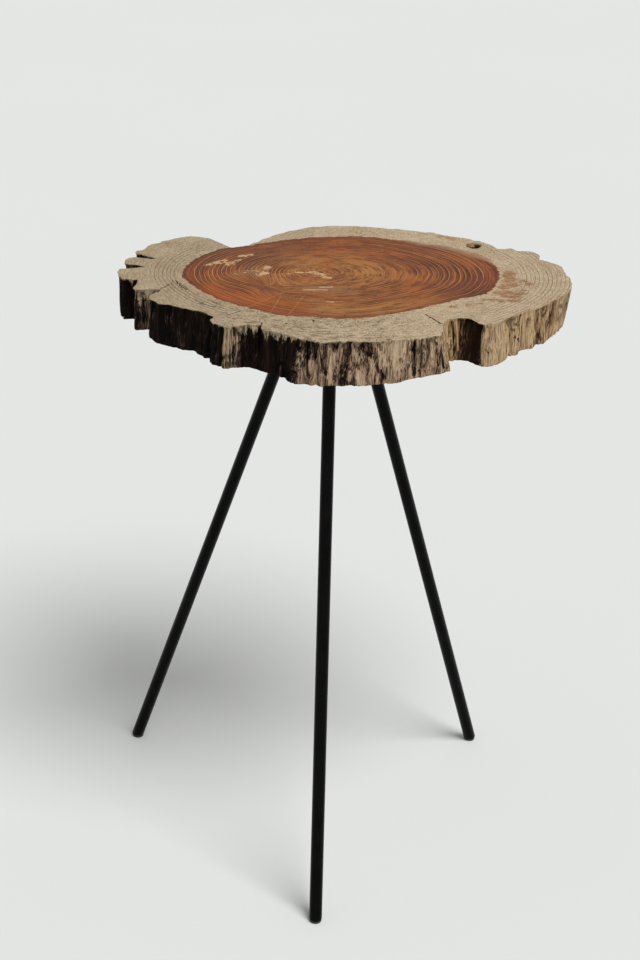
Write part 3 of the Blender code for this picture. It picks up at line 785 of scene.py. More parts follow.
def side_tone(bench, fibre, hair):
    """How dark the side is: its tone, which is partly painted light and shade, with ragged dark and pale marks.
    """
    ragged = bench.plus(bench.about_zero(fibre, 1.1), bench.about_zero(hair, 0.6))
    dark = bench.step(bench.plus(bench.attribute("dark"), ragged), 0.38, 0.68, 0.0, 0.72)
    pale = bench.step(bench.plus(bench.attribute("pale"), ragged), 0.46, 0.60, 0.0, 0.85)
    tone = bench.larger(bench.attribute("tone"), dark)
    return bench.blend(pale, tone, 0.12)


def bark_colour(bench, colours, value, upright):
    """Fibres from cream to black-brown by one value, amber where fresh wood shows and rusty in streaks."""
    bark = bench.ramp(value, [(0.02, colours.bark_pale), (0.28, colours.bark_tan), (0.52, colours.bark_grey),
                              (0.74, colours.bark_brown), (0.95, colours.bark_black)])
    amber = bench.times(bench.attribute("amber"), bench.step(value, 0.1, 0.95, 0.90, 0.45))
    fresh = bench.ramp(value, [(0.1, colours.amber_pale), (0.5, colours.amber), (0.9, colours.rust_deep)])
    bark = bench.mix(amber, bark, fresh)
    warm = bench.step(bench.noise(upright, 150.0, 3.0, 0.6), 0.50, 0.66, 0.0, 0.55)
    rust = bench.larger(warm, bench.step(bench.attribute("rust"), 0.2, 0.8, 0.0, 0.75))
    rust = bench.times(rust, bench.step(value, 0.45, 0.85, 1.0, 0.25))
    return bench.mix(rust, bark, bench.ramp(value, [(0.0, colours.rust_pale), (0.60, colours.rust)]))


def hanging_sapwood(bench, sapwood, upright, leaning, bark):
    """Bark with ragged pale wood that hangs over it from the sawn face, as far down as the lip goes."""
    ring = bench.attribute("ring")
    inputs = {"Place": leaning, "Ring Place": ring_place(bench, upright, ring, 3.0, 30.0),
              "Torn Place": bench.scaled(upright, 420.0), "Lines": 0.3, "Torn": 0.8}
    pale = bench.group(sapwood, inputs, "Color")
    hang = bench.step(bench.noise(upright, 300.0, 5.0, 0.85), 0.34, 0.68, 0.0, 1.9)
    hang = bench.times(hang, bench.step(bench.noise(upright, 110.0, 2.0), 0.38, 0.62, 0.45, 1.6))
    hang = bench.times(bench.attribute("lip"), hang)
    fringe = bench.minus(hang, bench.attribute("drop"))
    return bench.mix(bench.step(fringe, -0.02, 0.03), bark, pale)


def split_wood(colours, sapwood):
    """The split and weathered side: long upright fibres that wander by a slow noise, with dark seams where one
    noise is one half, painted shade in the clefts of the side's relief, and dark slits."""
    material, bench, shader = new_material("split_wood", {"Roughness": 0.8, "Specular IOR Level": 0.06})
    place = bench.place()
    wander = bench.wobble(place, 30.0, 1.0, fibre_wander)
    bent = bench.vector("ADD", place, wander)
    upright = bench.with_height(bent, 0.035)
    leaning = bench.with_height(bent, 0.14)
    fibre = bench.noise(upright, 270.0, 5.0, 0.70)
    patch = bench.noise(leaning, 60.0, 4.0, 0.6)
    hair = bench.noise(bench.with_height(bent, 0.06), 900.0, 3.0, 0.8)
    granule = bench.noise(bench.with_height(place, 0.22), 900.0, 3.0, 0.8)
    seam = bench.noise(upright, 230.0, 2.0, 0.5)
    seam = bench.step(bench.gap(seam, 0.5), 0.004, 0.022, 1.0, 0.0)
    seam = bench.times(seam, bench.step(patch, 0.42, 0.58, 0.10, 1.0))
    tone = side_tone(bench, fibre, hair)
    calm = bench.step(tone, 0.70, 0.95, 1.0, 0.66)
    change = bench.plus(bench.about_zero(patch, 0.7), bench.about_zero(fibre, 1.9))
    change = bench.plus(change, bench.about_zero(granule, 0.7))
    change = bench.plus(change, bench.linear(seam, 0.40, bench.about_zero(hair, 2.1)))
    value = bench.linear(change, calm, tone)
    colour = bark_colour(bench, colours, value, upright)
    colour = hanging_sapwood(bench, sapwood, upright, leaning, colour)
    # Painted shade: the clefts of the side's relief are darkened, rust-brown on pale sides and black on dark
    # ones.
    deep = bench.times(bench.attribute("cleft_shade"), bench.step(tone, 0.10, 0.60, 0.45, 0.90))
    groove = bench.mix(bench.step(tone, 0.15, 0.55), colours.rust_deep, colours.bark_black)
    colour = bench.mix(deep, colour, groove)
    colour = bench.mix(bench.step(bench.attribute("slit"), 0.3, 0.7), colour, colours.bark_black)

    height = bench.plus(bench.times(fibre, 1.2), bench.times(hair, 0.6))
    height = bench.plus(height, bench.times(granule, 0.4))
    height = bench.minus(height, bench.times(seam, 0.45))
    height = bench.minus(height, bench.times(bench.attribute("slit"), 1.5))
    normal = bench.bump(height, 0.9, split_bump)
    rough = bench.linear(fibre, 0.2, 0.7, clamp=True)
    finish_shader(bench, shader, colour, rough, normal)
    return material


def worn_material(name, wear, colour, dusty):
    """Steel or rubber: its own colour with clouds, drawn scratches and specks of dust over it."""
    metallic, roughness, scale, dust, scratch_depth = worn_finishes[name]
    material, bench, shader = new_material(name, {"Metallic": metallic, "Roughness": roughness})
    inputs = {"Place": bench.place(), "Scale": scale, "Dust": dust}
    cloud = bench.group(wear, inputs, "Cloud")
    scratches = bench.group(wear, inputs, "Scratches")
    specks = bench.group(wear, inputs, "Dust")
    lighter = tuple(min(1.0, channel * 1.9) for channel in colour[:3])
    wiped = bench.plus(bench.linear(cloud, 1.2, 0.35), bench.times(scratches, 0.6), clamp=True)
    shade = bench.mix(wiped, colour, lighter)
    shade = bench.mix(specks, shade, dusty)
    rough = bench.linear(cloud, 0.25, roughness)
    rough = bench.linear(scratches, 0.18, rough)
    rough = bench.linear(specks, 0.3, rough, clamp=True)
    normal = bench.bump(scratches, 0.35, scratch_depth)
    finish_shader(bench, shader, shade, rough, normal)
    return material


def length_value(name, description, default):
    """A length that a user can change, in metres."""
    return FloatProperty(name=name, description=description, default=default, unit="LENGTH")


def angle_value(name, description, degrees):
    """An angle that a user can change."""
    return FloatProperty(name=name, description=description, default=math.radians(degrees), subtype="ANGLE")


def colour_value(name, description, default):
    """A colour that a user can change."""
    return FloatVectorProperty(name=name, description=description, default=default, subtype="COLOR")


class SlabSizes(bpy.types.PropertyGroup):
    """Sizes of the slice of wood."""
    length: length_value("Length", "Slab from its left tip to its right one", slab_high.x - slab_low.x)
    width: length_value("Width", "Slab from front to back", slab_high.y - slab_low.y)
    relief: length_value("Relief", "Depth of the deepest groove between the side's fibres", 0.0048)
    undercut: length_value("Undercut", "How far dark sides step in under the sawn face", 0.0009)
    rim_drop: length_value("Rim drop", "How far the sawn face is worn down at its rim", 0.0003)
    face_wave: length_value("Face wave", "Unevenness of the sawn face", 0.0003)
    knot_radius: length_value("Knot radius", "Half the width of the knot hole", 0.0070)
    knot_depth: length_value("Knot depth", "Depth of the knot hole", 0.014)
    ring_unit: length_value("Ring unit", "Width of sapwood that counts as one heart radius", 0.050)
    columns: IntProperty(name="Columns", description="Points round the slab's outline", default=1200)


class SlabColours(bpy.types.PropertyGroup):
    """Colours of the wood."""
    heart_orange: colour_value("Heart orange", "Light heartwood", (0.30, 0.088, 0.0185))
    heart_red: colour_value("Heart red", "Middle heartwood", (0.163, 0.038, 0.0080))
    heart_dark: colour_value("Heart dark", "Latewood of the heart", (0.070, 0.0165, 0.0045))
    heart_tan: colour_value("Heart tan", "Heartwood round the pith", (0.395, 0.178, 0.049))
    heart_purple: colour_value("Heart purple", "Outermost heartwood and its streaks", (0.145, 0.039, 0.017))
    heart_line: colour_value("Heart line", "Pale growth lines", (0.47, 0.24, 0.098))
    heart_glow: colour_value("Heart glow", "Bright orange-red area", (0.385, 0.099, 0.017))
    heart_glow_deep: colour_value("Heart glow deep", "Darker grain of that area", (0.170, 0.039, 0.0085))
    rot: colour_value("Rot", "Pale decayed patches", (0.6, 0.4, 0.205))
    sapwood_cream: colour_value("Sapwood cream", "Light sapwood", (0.56, 0.432, 0.28))
    sapwood_beige: colour_value("Sapwood beige", "Middle sapwood", (0.435, 0.318, 0.2))
    sapwood_deep: colour_value("Sapwood deep", "Darkest sapwood", (0.22, 0.145, 0.085))
    sapwood_flake: colour_value("Sapwood flake", "Torn flakes of sapwood", (0.64, 0.52, 0.36))
    pore: colour_value("Pore", "Pores and thin dark lines", (0.088, 0.05, 0.03))
    stain: colour_value("Stain", "Brown stains on the sapwood", (0.365, 0.168, 0.070))
    # Crack is also the painted shade deep in the knot hole.
    crack: colour_value("Crack", "Inside of cracks and of the knot hole", (0.010, 0.007, 0.005))
    underside: colour_value("Underside", "Raw grey of the underside", (0.22, 0.17, 0.125))
    bark_pale: colour_value("Side pale", "Lightest fibres of the side", (0.56, 0.43, 0.29))
    bark_tan: colour_value("Side tan", "Tan fibres of the side", (0.38, 0.25, 0.15))
    bark_grey: colour_value("Side grey", "Grey-brown fibres of the side", (0.145, 0.102, 0.073))
    bark_brown: colour_value("Side brown", "Dark brown fibres of the side", (0.023, 0.0122, 0.0066))
    # Side black is also painted shade: in the clefts of dark sides and, through the side's darkness keys, on
    # its shaded stretches.
    bark_black: colour_value("Side black", "Blackened fibres of the side", (0.0021, 0.0012, 0.0008))
    rust: colour_value("Rust", "Reddish brown fibres of the side", (0.1, 0.048, 0.028))
    rust_pale: colour_value("Rust pale", "Lightest reddish fibres", (0.4, 0.235, 0.145))
    # Rust deep is also the painted shade in the clefts of pale sides.
    rust_deep: colour_value("Rust deep", "Grooves in pale sides", (0.050, 0.024, 0.013))
    amber: colour_value("Amber", "Freshly split wood", (0.42, 0.235, 0.095))
    amber_pale: colour_value("Amber pale", "Lightest freshly split wood", (0.64, 0.46, 0.25))


class SteelSettings(bpy.types.PropertyGroup):
    """Sizes and colours of the rods, welds, glides, plate and screws."""
    rod_diameter: length_value("Rod diameter", "Thickness of the round bar", 0.012)
    rod_chamfer: length_value("Rod chamfer", "Edge taken off each cut end", 0.0004)
    weld_leg: length_value("Weld leg", "Width of the bead on plate and rod", 0.0045)
    weld_ripple: length_value("Weld ripple", "Height of the bead's ripples", 0.00035)
    weld_ripples: IntProperty(name="Weld ripples", description="Ripples round one bead", default=26)
    rod_sides: IntProperty(name="Rod sides", description="Points round a rod", default=64)
    steel: colour_value("Steel", "Blackened steel", (0.0045, 0.0045, 0.0045))
    zinc: colour_value("Zinc", "Zinc-plated screws", (0.46, 0.45, 0.43))
    rubber: colour_value("Rubber", "Glides", (0.013, 0.013, 0.013))
    dust: colour_value("Dust", "Dust on metal and rubber", (0.16, 0.15, 0.14))


class StageSettings(bpy.types.PropertyGroup):
    """Floor, light and camera."""
    floor_colour: colour_value("Floor", "Pale studio floor", (0.75, 0.76, 0.75))
    floor_reach: length_value("Floor reach", "Half the width of the floor", 9.0)
    camera_place: FloatVectorProperty(name="Camera place", description="Where the camera stands",
                                      subtype="TRANSLATION", default=(-0.1258, -1.7575, 1.272))
    camera_heading: angle_value("Camera heading", "Turn of the view to the right of +Y", 3.5)
    camera_pitch: angle_value("Camera pitch", "Tilt of the view below level", 27.04)
    camera_roll: angle_value("Camera roll", "Roll of the view, clockwise", 2.56)
    lens: FloatProperty(name="Lens", description="Focal length in millimetres for a 36 mm long side",
                        default=79.54)
    sun_strength: FloatProperty(name="Sun", description="Strength of the soft sun", default=2.5)
    sun_width: angle_value("Sun width", "Angle that the soft sun fills", 32.0)
    sun_side: FloatVectorProperty(name="Sun side", description="Direction that the light comes from",
                                  subtype="DIRECTION", default=(0.62, -0.75, 1.8))
    air_colour: colour_value("Air", "Background behind the floor", (0.80, 0.81, 0.80))
    ambient: FloatProperty(name="Ambient", description="Even light from all round", default=0.44)


def half_size(sizes):
    """Half the slab's length and half its width."""
    return np.array([sizes.length / 2, sizes.width / 2])


def full_turn(count):
    """Angles evenly spaced round a circle."""
    return np.arange(count) / count * 2 * math.pi


def loop_noise(share, columns, seed):
    """Smooth noise from -1 to 1 round a loop, where share runs from 0 to 1 along it."""
    return noise_sheet(share, share * 0, columns, 1, seed)


def outline_loop(sizes):
    """The outline as evenly spaced points from the slab's middle, rounded a little, with the distance of each
    along it and the distance at which each corner stands."""
    corners = np.array(slab_outline_shares) * half_size(sizes)
    closed = np.vstack([corners, corners[:1]])
    steps = np.linalg.norm(np.diff(closed, axis=0), axis=1)
    reach = np.concatenate([[0.0], np.cumsum(steps)])
    along = np.linspace(0, reach[-1], sizes.columns, endpoint=False)
    loop = np.stack([np.interp(along, reach, closed[:, axis]) for axis in (0, 1)], axis=1)
    return loop_blur(loop, 1.0), along, reach


def read_keys(keys, along, reach):
    """Values along the outline, in straight steps between (corner number, value) keys."""
    numbers, values = zip(*keys)
    places = np.interp(numbers, np.arange(len(reach)), reach)
    return np.interp(along, places, values, period=reach[-1])


def inward_of(loop):
    """Unit vectors into the wood at each point of the outline, smoothed along it."""
    tangent = loop_blur(np.roll(loop, -1, axis=0) - np.roll(loop, 1, axis=0), 2.0)
    inward = np.stack([-tangent[:, 1], tangent[:, 0]], axis=1)
    return inward / np.linalg.norm(inward, axis=1, keepdims=True)


def room_behind(loop, inward, along, total):
    """How far the wood goes on behind each point: the least distance to outline points that lie inward of it
    and more than 8 mm away along the outline."""
    offset = loop[None, :, :] - loop[:, None, :]
    gap = np.linalg.norm(offset, axis=2)
    behind = np.einsum("ijk,ik->ij", offset, inward)
    apart = np.abs(along[None, :] - along[:, None])
    apart = np.minimum(apart, total - apart)
    no_wall = 1.0
    gap[(behind <= 0.3 * gap) | (apart < 8 * millimetre)] = no_wall
    return gap.min(axis=1)


def inner_loop(loop, half):
    """A flat ellipse inside the slab that the spokes from the rim run to, so that none crosses another. It is
    half as long as the slab and a tenth as wide. A rim point's angle on it comes from its x, smoothed and made
    to rise along the front and fall along the back."""
    length_share, width_share, rear_share = 0.5, 0.1, 0.1
    count = len(loop)
    left = int(np.argmin(loop[:, 0]))
    order = (left + np.arange(count)) % count
    smooth_x = loop_blur(loop[:, 0], 14.0)[order]
    turn = int(np.argmax(smooth_x))
    angles = np.empty(count)
    for stretch, along_front in ((slice(0, turn), True), (slice(turn, count), False)):
        values = smooth_x[stretch] if along_front else -smooth_x[stretch]
        rising = np.maximum.accumulate(values)
        rising = 0.8 * rising / half[0] + 0.2 * np.linspace(-1, 1, len(rising))
        rising = (rising - rising[0]) / (rising[-1] - rising[0]) * 2 - 1
        angles[stretch] = (math.pi if along_front else 0) + np.arccos(-rising)
    bend = np.empty(count)
    bend[order] = angles
    wide = length_share * half[0] * np.cos(bend)
    return np.stack([wide, (rear_share + width_share * np.sin(bend)) * half[1]], axis=1)


def mark_field(x, y, marks, ramp):
    """How near each point lies to a list of straight marks, in millimetres: 0.5 on a mark's edge, rising to 1
    one ramp inside it and falling to 0 one ramp outside."""
    nearest = np.full(x.shape, np.inf)
    for start_x, start_y, end_x, end_y, half_width in marks:
        span_x, span_y = end_x - start_x, end_y - start_y
        share = ((x - start_x) * span_x + (y - start_y) * span_y) / (span_x ** 2 + span_y ** 2)
        share = np.clip(share, 0, 1)
        gap = np.hypot(x - start_x - share * span_x, y - start_y - share * span_y) - half_width
        nearest = np.minimum(nearest, gap)
    return np.clip(0.5 - nearest / (2 * ramp), 0, 1)


def ring_values(x, y, sizes):
    """How far out in the tree a point lies. Inside the heart it is the distance from the pith as a share of
    the heart's radius in that direction; outside, 1 plus the distance past the heart's edge in ring units.
    The radius follows the heart's rough edge close to it, and a smoothed edge away from it."""
    directions = 720
    broad_rough, fine_rough, rough_reach = 0.0013, 0.0009, 0.012
    pith = np.array(pith_shares) * half_size(sizes)
    edge = np.array(heart_outline_shares) * half_size(sizes) - pith
    turn = np.arctan2(edge[:, 1], edge[:, 0])
    order = np.argsort(turn)
    angles = np.radians(np.arange(directions) * 360 / directions - 180)
    radius = np.interp(angles, turn[order], np.linalg.norm(edge, axis=1)[order], period=2 * math.pi)
    smooth = loop_blur(radius, 22.0)
    radius = loop_blur(radius, 4.0)
    share = np.arange(directions) / directions
    radius += broad_rough * loop_noise(share, 48, 5) + fine_rough * loop_noise(share, 180, 6)
    distance = np.hypot(x - pith[0], y - pith[1])
    turn_here = np.arctan2(y - pith[1], x - pith[0])
    edge_here = np.interp(turn_here, angles, radius, period=2 * math.pi)
    here = np.interp(turn_here, angles, smooth, period=2 * math.pi)
    here = here + (edge_here - here) * np.exp(-((distance - edge_here) / rough_reach) ** 2)
    return np.where(distance < here, distance / here, 1 + (distance - here) / sizes.ring_unit)


def rim_distance(x, y, loop):
    """Distance from each point of each row to the nearest point of the outline."""
    rows = []
    for row_x, row_y in zip(x, y):
        gap = (row_x[:, None] - loop[None, :, 0]) ** 2 + (row_y[:, None] - loop[None, :, 1]) ** 2
        rows.append(np.sqrt(gap.min(axis=1)))
    return np.array(rows)


def face_rows(loop, inner, pith, rim_rows, pole_rows):
    """Rows of one sawn face from its pole to its rim: straight spokes from the pith to the inner loop, then
    from there to the outline, closest together at the rim."""
    share = np.arange(1, pole_rows + 1)[:, None, None] / pole_rows
    first = pith + (inner - pith)[None] * share
    even = np.arange(rim_rows, -1, -1)[1:] / rim_rows
    gap = (0.32 * even + 0.68 * even ** 2.2)[:, None, None]
    return np.concatenate([first, loop[None] * (1 - gap) + inner[None] * gap])


def side_relief(share, down, tone):
    """The split side's relief, which grows from its outermost fibres to its deepest grooves, and how far each
    point is in a groove. Grooves run where one noise crosses zero, exp(-(noise / 0.2)^2), and only in some
    stretches; between them broad and narrow fibres stand out. All noises change fast along the outline and
    slowly downwards."""
    across = (share + 0.003 * noise_sheet(share, down, 44, 2, 30) * down) % 1
    broad = noise_sheet(across, down, 88, 1, 31)
    middle = noise_sheet(across, down, 215, 2, 32)
    narrow = noise_sheet(across, down, 500, 3, 33)
    where = step_curve(noise_sheet(across, down, 60, 2, 34), -0.25, 0.35)
    groove = np.exp(-(middle / 0.2) ** 2) * where
    raised = 0.5 + 0.5 * np.clip(1.5 * (0.6 * broad + 0.4 * narrow), -1, 1)
    calm = 1 - 0.35 * step_curve(tone, 0.7, 0.95)
    return calm * (0.42 * raised + 0.58 * groove), groove


def side_fields(along, reach, down, height_mm):
    """The side's mark lists as values at each point of its grid: millimetres along the outline and down."""
    wide, deep = np.broadcast_arrays(along[None] / millimetre, down * height_mm)
    corners = np.arange(len(reach))
    fields = {}
    for name, (marks, ramp_mm) in side_marks.items():
        placed = [(np.interp(first, corners, reach) / millimetre, start * height_mm,
                   np.interp(second, corners, reach) / millimetre, end * height_mm, half_width)
                  for first, start, second, end, half_width in marks]
        fields[name] = mark_field(wide, deep, placed, ramp_mm)
    return fields


def face_heights(x, y, share, loop, sizes):
    """Height of the sawn face: wavy, a little rougher in the sapwood, worn down at the rim by
    exp(-gap / 1.4 mm), and sunk in the knot hole, which keeps a flat-topped burl in it, exp(-distance^4)."""
    rough_height, worn_reach, deepest_wear = 0.00015, 0.0014, 0.0022
    burl_x, burl_y, burl_half_length, burl_half_width, burl_share = -0.0014, 0.0036, 0.0060, 0.0056, 0.94
    wide = x / sizes.length + 0.5
    deep = y / sizes.width + 0.5
    wave = sizes.face_wave * (1 + noise_sheet(wide, deep, 9, 6, 21)) * 0.5
    outside = step_curve(ring_values(x, y, sizes), 0.99, 1.05)
    rough = rough_height * (1 + noise_sheet(wide, deep, 90, 60, 22)) * outside
    worn = sizes.rim_drop * (1.0 + 0.8 * loop_noise(share, 190, 23))
    worn = worn * np.exp(-rim_distance(x, y, loop) / worn_reach)
    knot_x, knot_y = np.array(knot_shares) * half_size(sizes)
    hollow = step_curve(np.hypot(x - knot_x, (y - knot_y) * 0.9) / sizes.knot_radius, 1.05, 0.78)
    burl_wide = (x - knot_x - burl_x) / burl_half_length
    burl_deep = (y - knot_y - burl_y) / burl_half_width
    burl = np.exp(-(burl_wide ** 2 + burl_deep ** 2) ** 2)
    sink = sizes.knot_depth * hollow * (1 - burl_share * burl)
    return slab_high.z - wave - rough - np.minimum(worn, deepest_wear) - sink


def worn_outline(loop, inward, share, tone, rim_inset, half):
    """The outline drawn in by its keys, nibbled by broad and fine noise, and by the side's grooves, which bite
    less where it is dark."""
    broad_nibble, fine_nibble, groove_nibble = 0.0007, 0.0004, 0.0011
    nibble = broad_nibble * loop_noise(share, 210, 11) + fine_nibble * loop_noise(share, 500, 12)
    nibble += groove_nibble * side_relief(share, share * 0, tone)[1] * (1 - 0.6 * tone)
    return np.clip(loop + inward * (nibble + rim_inset)[:, None], -half, half)


def side_depths(sizes, down, tone, relief, inset, room):
    """How far the side stands in from the outline: its relief, an undercut where it is dark and the inset of
    its lower edge, never more than 0.3 of the wood behind it, and a rounding of the lower edge."""
    room_share, lower_rounding = 0.30, 0.0004
    depth = sizes.relief * relief * step_curve(down, 0.0, 0.16 - 0.10 * tone)
    depth = depth + sizes.undercut * step_curve(tone, 0.6, 0.9) * step_curve(down, 0.01, 0.05) + inset * down
    return np.minimum(depth, room_share * room) + lower_rounding * step_curve(down, 0.93, 1.0)


def face_values(plan, sizes):
    """Values for the materials that depend on the place in plan: the rings, where they show at the slab's
    ends, where the sapwood is torn, where the heart's edge is faded, and the marks of the sawn face."""
    x_mm, y_mm = plan[:, :, 0] / millimetre, plan[:, :, 1] / millimetre
    layers = {"ring": ring_values(plan[:, :, 0], plan[:, :, 1], sizes)}
    past_heart = (layers["ring"] - 1) * sizes.ring_unit / millimetre
    left_rings = step_curve(x_mm, -90, -125) * step_curve(past_heart, 3, 8) * step_curve(past_heart, 40, 20)
    layers["ends"] = left_rings + 0.75 * step_curve(x_mm, 105, 140) * step_curve(past_heart, 10, 32)
    torn_front = step_curve(y_mm, -35, -75)
    layers["torn"] = 0.28 + 0.60 * torn_front * step_curve(x_mm, -125, -95) * step_curve(x_mm, 70, 25)
    layers["faded"] = step_curve(x_mm, 45, 75) * step_curve(y_mm, 45, 75)
    for name, (marks, ramp_mm) in face_marks.items():
        layers[name] = mark_field(x_mm, y_mm, marks, ramp_mm)
    return layers


def make_slab_mesh(sizes):
    """The slice of wood as one closed grid of loops, from the pole of the sawn face over the rim, down the side
    and in to the pole of the underside."""
    half = half_size(sizes)
    loop, along, reach = outline_loop(sizes)
    share = along / reach[-1]
    inward = inward_of(loop)
    room = room_behind(loop, inward, along, reach[-1])
    tone, amber, lip = (read_keys(keys, along, reach)
                        for keys in (side_tone_and_shade_keys, side_amber_keys, side_lip_keys))
    rise, inset, rim_inset = (read_keys(keys, along, reach) * millimetre
                              for keys in (lower_rise_keys_mm, lower_inset_keys_mm, rim_inset_keys_mm))
    inset = inset - rim_inset
    loop = worn_outline(loop, inward, share, tone, rim_inset, half)
    inner = inner_loop(loop, half)
    pith = np.array(pith_shares) * half

    top = face_rows(loop, inner, pith, *top_row_counts)
    face = face_heights(top[:, :, 0], top[:, :, 1], share, loop, sizes)

    down = np.broadcast_to(side_row_shares[:, None], (len(side_row_shares), len(share)))
    relief, cleft_shade = side_relief(np.broadcast_to(share, down.shape), down, tone)
    depth = side_depths(sizes, down, tone, relief, inset, room)
    side_xy = loop[None] + inward[None] * depth[:, :, None]
    ragged_edge, chipped_edge = 0.0004, 0.0005
    ragged = ragged_edge * (1 + loop_noise(share, 260, 41))
    low = slab_low.z + rise + ragged + chipped_edge * loop_noise(share, 70, 42).clip(0, 1)
    side_z = face[-1] + (low - face[-1]) * down
    cleft_shade = cleft_shade * step_curve(down, 0.02, 0.10)

    under = face_rows(side_xy[-1], inner, pith, *under_row_counts)[::-1][1:]
    under_gap = rim_distance(under[:, :, 0], under[:, :, 1], side_xy[-1])
    flat_reach = 0.016
    under_z = slab_low.z + (low - slab_low.z) * np.exp(-(under_gap / flat_reach) ** 2)

    plan = np.concatenate([top, side_xy, under])
    middle = slab_middle()
    heights = np.concatenate([face, side_z, under_z])
    rows = np.dstack([plan[:, :, 0] + middle.x, plan[:, :, 1] + middle.y, heights])
    pole_heights = (slab_high.z - sizes.face_wave / 2, slab_low.z)
    poles = [(pith[0] + middle.x, pith[1] + middle.y, height) for height in pole_heights]
    mesh = capped_mesh("slab", rows, *poles)

    # Values for the materials: some are for the side only, the others for the whole slab
    marks = side_fields(along, reach, down, (slab_high.z - slab_low.z) / millimetre)
    on_side = {"tone": tone + down * 0, "amber": amber + down * 0, "lip": lip + down * 0, "cleft_shade": cleft_shade}
    on_side.update(marks)
    layers = {name: np.concatenate([face * 0, values, under_z * 0]) for name, values in on_side.items()}
    layers["drop"] = np.concatenate([face * 0, down, under_z * 0 + 1])
    layers["under"] = np.concatenate([face * 0, side_z * 0, under_z * 0 + 1])
    layers.update(face_values(plan, sizes))
    for name, values in layers.items():
        lower_pole = 1.0 if name in ("under", "drop") else 0.0
        give_values(mesh, name, np.concatenate([values.ravel(), [0.0, lower_pole]]))
    bands = np.zeros(len(mesh.polygons), dtype=np.int32)
    first = (len(top) - 1) * sizes.columns
    bands[first:first + len(down) * sizes.columns] = 1
    mesh.polygons.foreach_set("material_index", bands)
    return mesh


def node_points(name):
    """All the vertices of a CAD node."""
    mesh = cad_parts[name].data
    points = np.empty(len(mesh.vertices) * 3, dtype=np.float32)
    mesh.vertices.foreach_get("co", points)
    return points.reshape(-1, 3).astype(float)


def rod_line(name):
    """The rod's two cut ends: the middles of the CAD solid's lowest and highest points."""
    points = node_points(name)
    ends = []
    for level in (points[:, 2].min(), points[:, 2].max()):
        cut = points[np.abs(points[:, 2] - level) < 0.1 * millimetre]
        ends.append((cut.min(axis=0) + cut.max(axis=0)) / 2)
    return ends


def level_cuts(foot, head, radius, heights, sides):
    """Level cuts through a raking rod. A point stands on the rod's round surface at its angle, and slides along
    the rod's axis until it has the cut's height. radius has one value for each height."""
    axis = (head - foot) / np.linalg.norm(head - foot)
    across = np.cross(axis, (0, 0, 1))
    across /= np.linalg.norm(across)
    outward = np.cross(across, axis)
    turn = full_turn(sides)
    spoke = np.cos(turn)[:, None] * across + np.sin(turn)[:, None] * outward
    if np.cross(spoke[0], spoke[1])[2] < 0:
        spoke = spoke[::-1]
    base = foot[None, None] + np.asarray(radius)[:, None, None] * spoke[None]
    slide = (np.asarray(heights)[:, None] - base[:, :, 2]) / axis[2]
    return base + slide[:, :, None] * axis


def make_rod_mesh(name, steel):
    """A round bar as a profile carried down its own line, with its edge taken off at both cut ends."""
    foot, head = rod_line(name)
    radius = steel.rod_diameter / 2
    chamfer = steel.rod_chamfer
    body = np.linspace(head[2] - chamfer, foot[2] + chamfer, rod_row_count)
    heights = np.concatenate([[head[2], head[2]], body, [foot[2], foot[2]]])
    cut_end = [radius * 0.5, radius - chamfer]
    radii = np.concatenate([cut_end, np.full(rod_row_count, radius), cut_end[::-1]])
    rows = level_cuts(foot, head, radii, heights, steel.rod_sides)
    mesh = capped_mesh(name, rows, head, foot)
    mesh.set_sharp_from_angle(angle=math.radians(30))
    return mesh


def make_weld_mesh(name, leg_name, steel):
    """A fillet bead round a rod, under the plate. Its section runs along the plate, over a bulging face,
    cos^0.8 by sin^0.8, to the rod and back up the rod. The face's reach swells in ripples that lean along the
    bead."""
    points_per_ripple, section_points, ripple_lean = 8, 12, 0.9
    foot, head = rod_line(leg_name)
    rod = steel.rod_diameter / 2
    sides = steel.weld_ripples * points_per_ripple
    turn = full_turn(sides)
    bend = np.linspace(0, math.pi / 2, section_points)
    lean = bend[:, None] * ripple_lean
    ripple = steel.weld_ripple * np.abs(np.sin(steel.weld_ripples * turn[None] / 2 + lean)) ** 0.6
    size = steel.weld_leg * (1 + 0.06 * loop_noise(turn / (2 * math.pi), 14, 51))[None] + ripple
    outward = size * np.cos(bend)[:, None] ** 0.8
    downward = size * np.sin(bend)[:, None] ** 0.8
    edge = np.array([[0.0], [0.5]]) * steel.weld_leg
    reach = np.concatenate([edge + 0 * turn[None], outward, edge[:1] + 0 * turn[None]])
    drop = np.concatenate([0 * edge + 0 * turn[None], downward, 0.5 * steel.weld_leg + 0 * turn[None]])
    surface = level_cuts(foot, head, [rod, rod * 2], [plate_low.z, plate_low.z], sides)
    spoke = surface[1] - surface[0]
    spoke /= np.linalg.norm(spoke, axis=1, keepdims=True)
    axis = (head - foot) / (head - foot)[2]
    rows = surface[0][None] + reach[:, :, None] * spoke[None] - drop[:, :, None] * axis[None, None]
    quads = grid_faces(len(reach), sides, closed_down=True)
    return make_mesh(name, rows.reshape(-1, 3), quads)


def make_glide_mesh(name, sides):
    """A round pad turned from a squarish oval: radius times cos^0.3, half height times sin^0.4 of one angle."""
    low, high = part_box(name)
    middle = (low + high) / 2
    radius = (high.x - low.x) / 2
    steepest = 84
    bend = np.radians(np.linspace(steepest, -steepest, glide_row_count))
    out = radius * np.cos(bend) ** 0.3
    up = (high.z - low.z) / 2 * np.sign(bend) * np.abs(np.sin(bend)) ** 0.4
    turn = full_turn(sides)
    rows = np.dstack([middle.x + out[:, None] * np.cos(turn), middle.y + out[:, None] * np.sin(turn),
                      middle.z + up[:, None] + 0 * turn])
    return capped_mesh(name, rows, (middle.x, middle.y, high.z), (middle.x, middle.y, low.z))


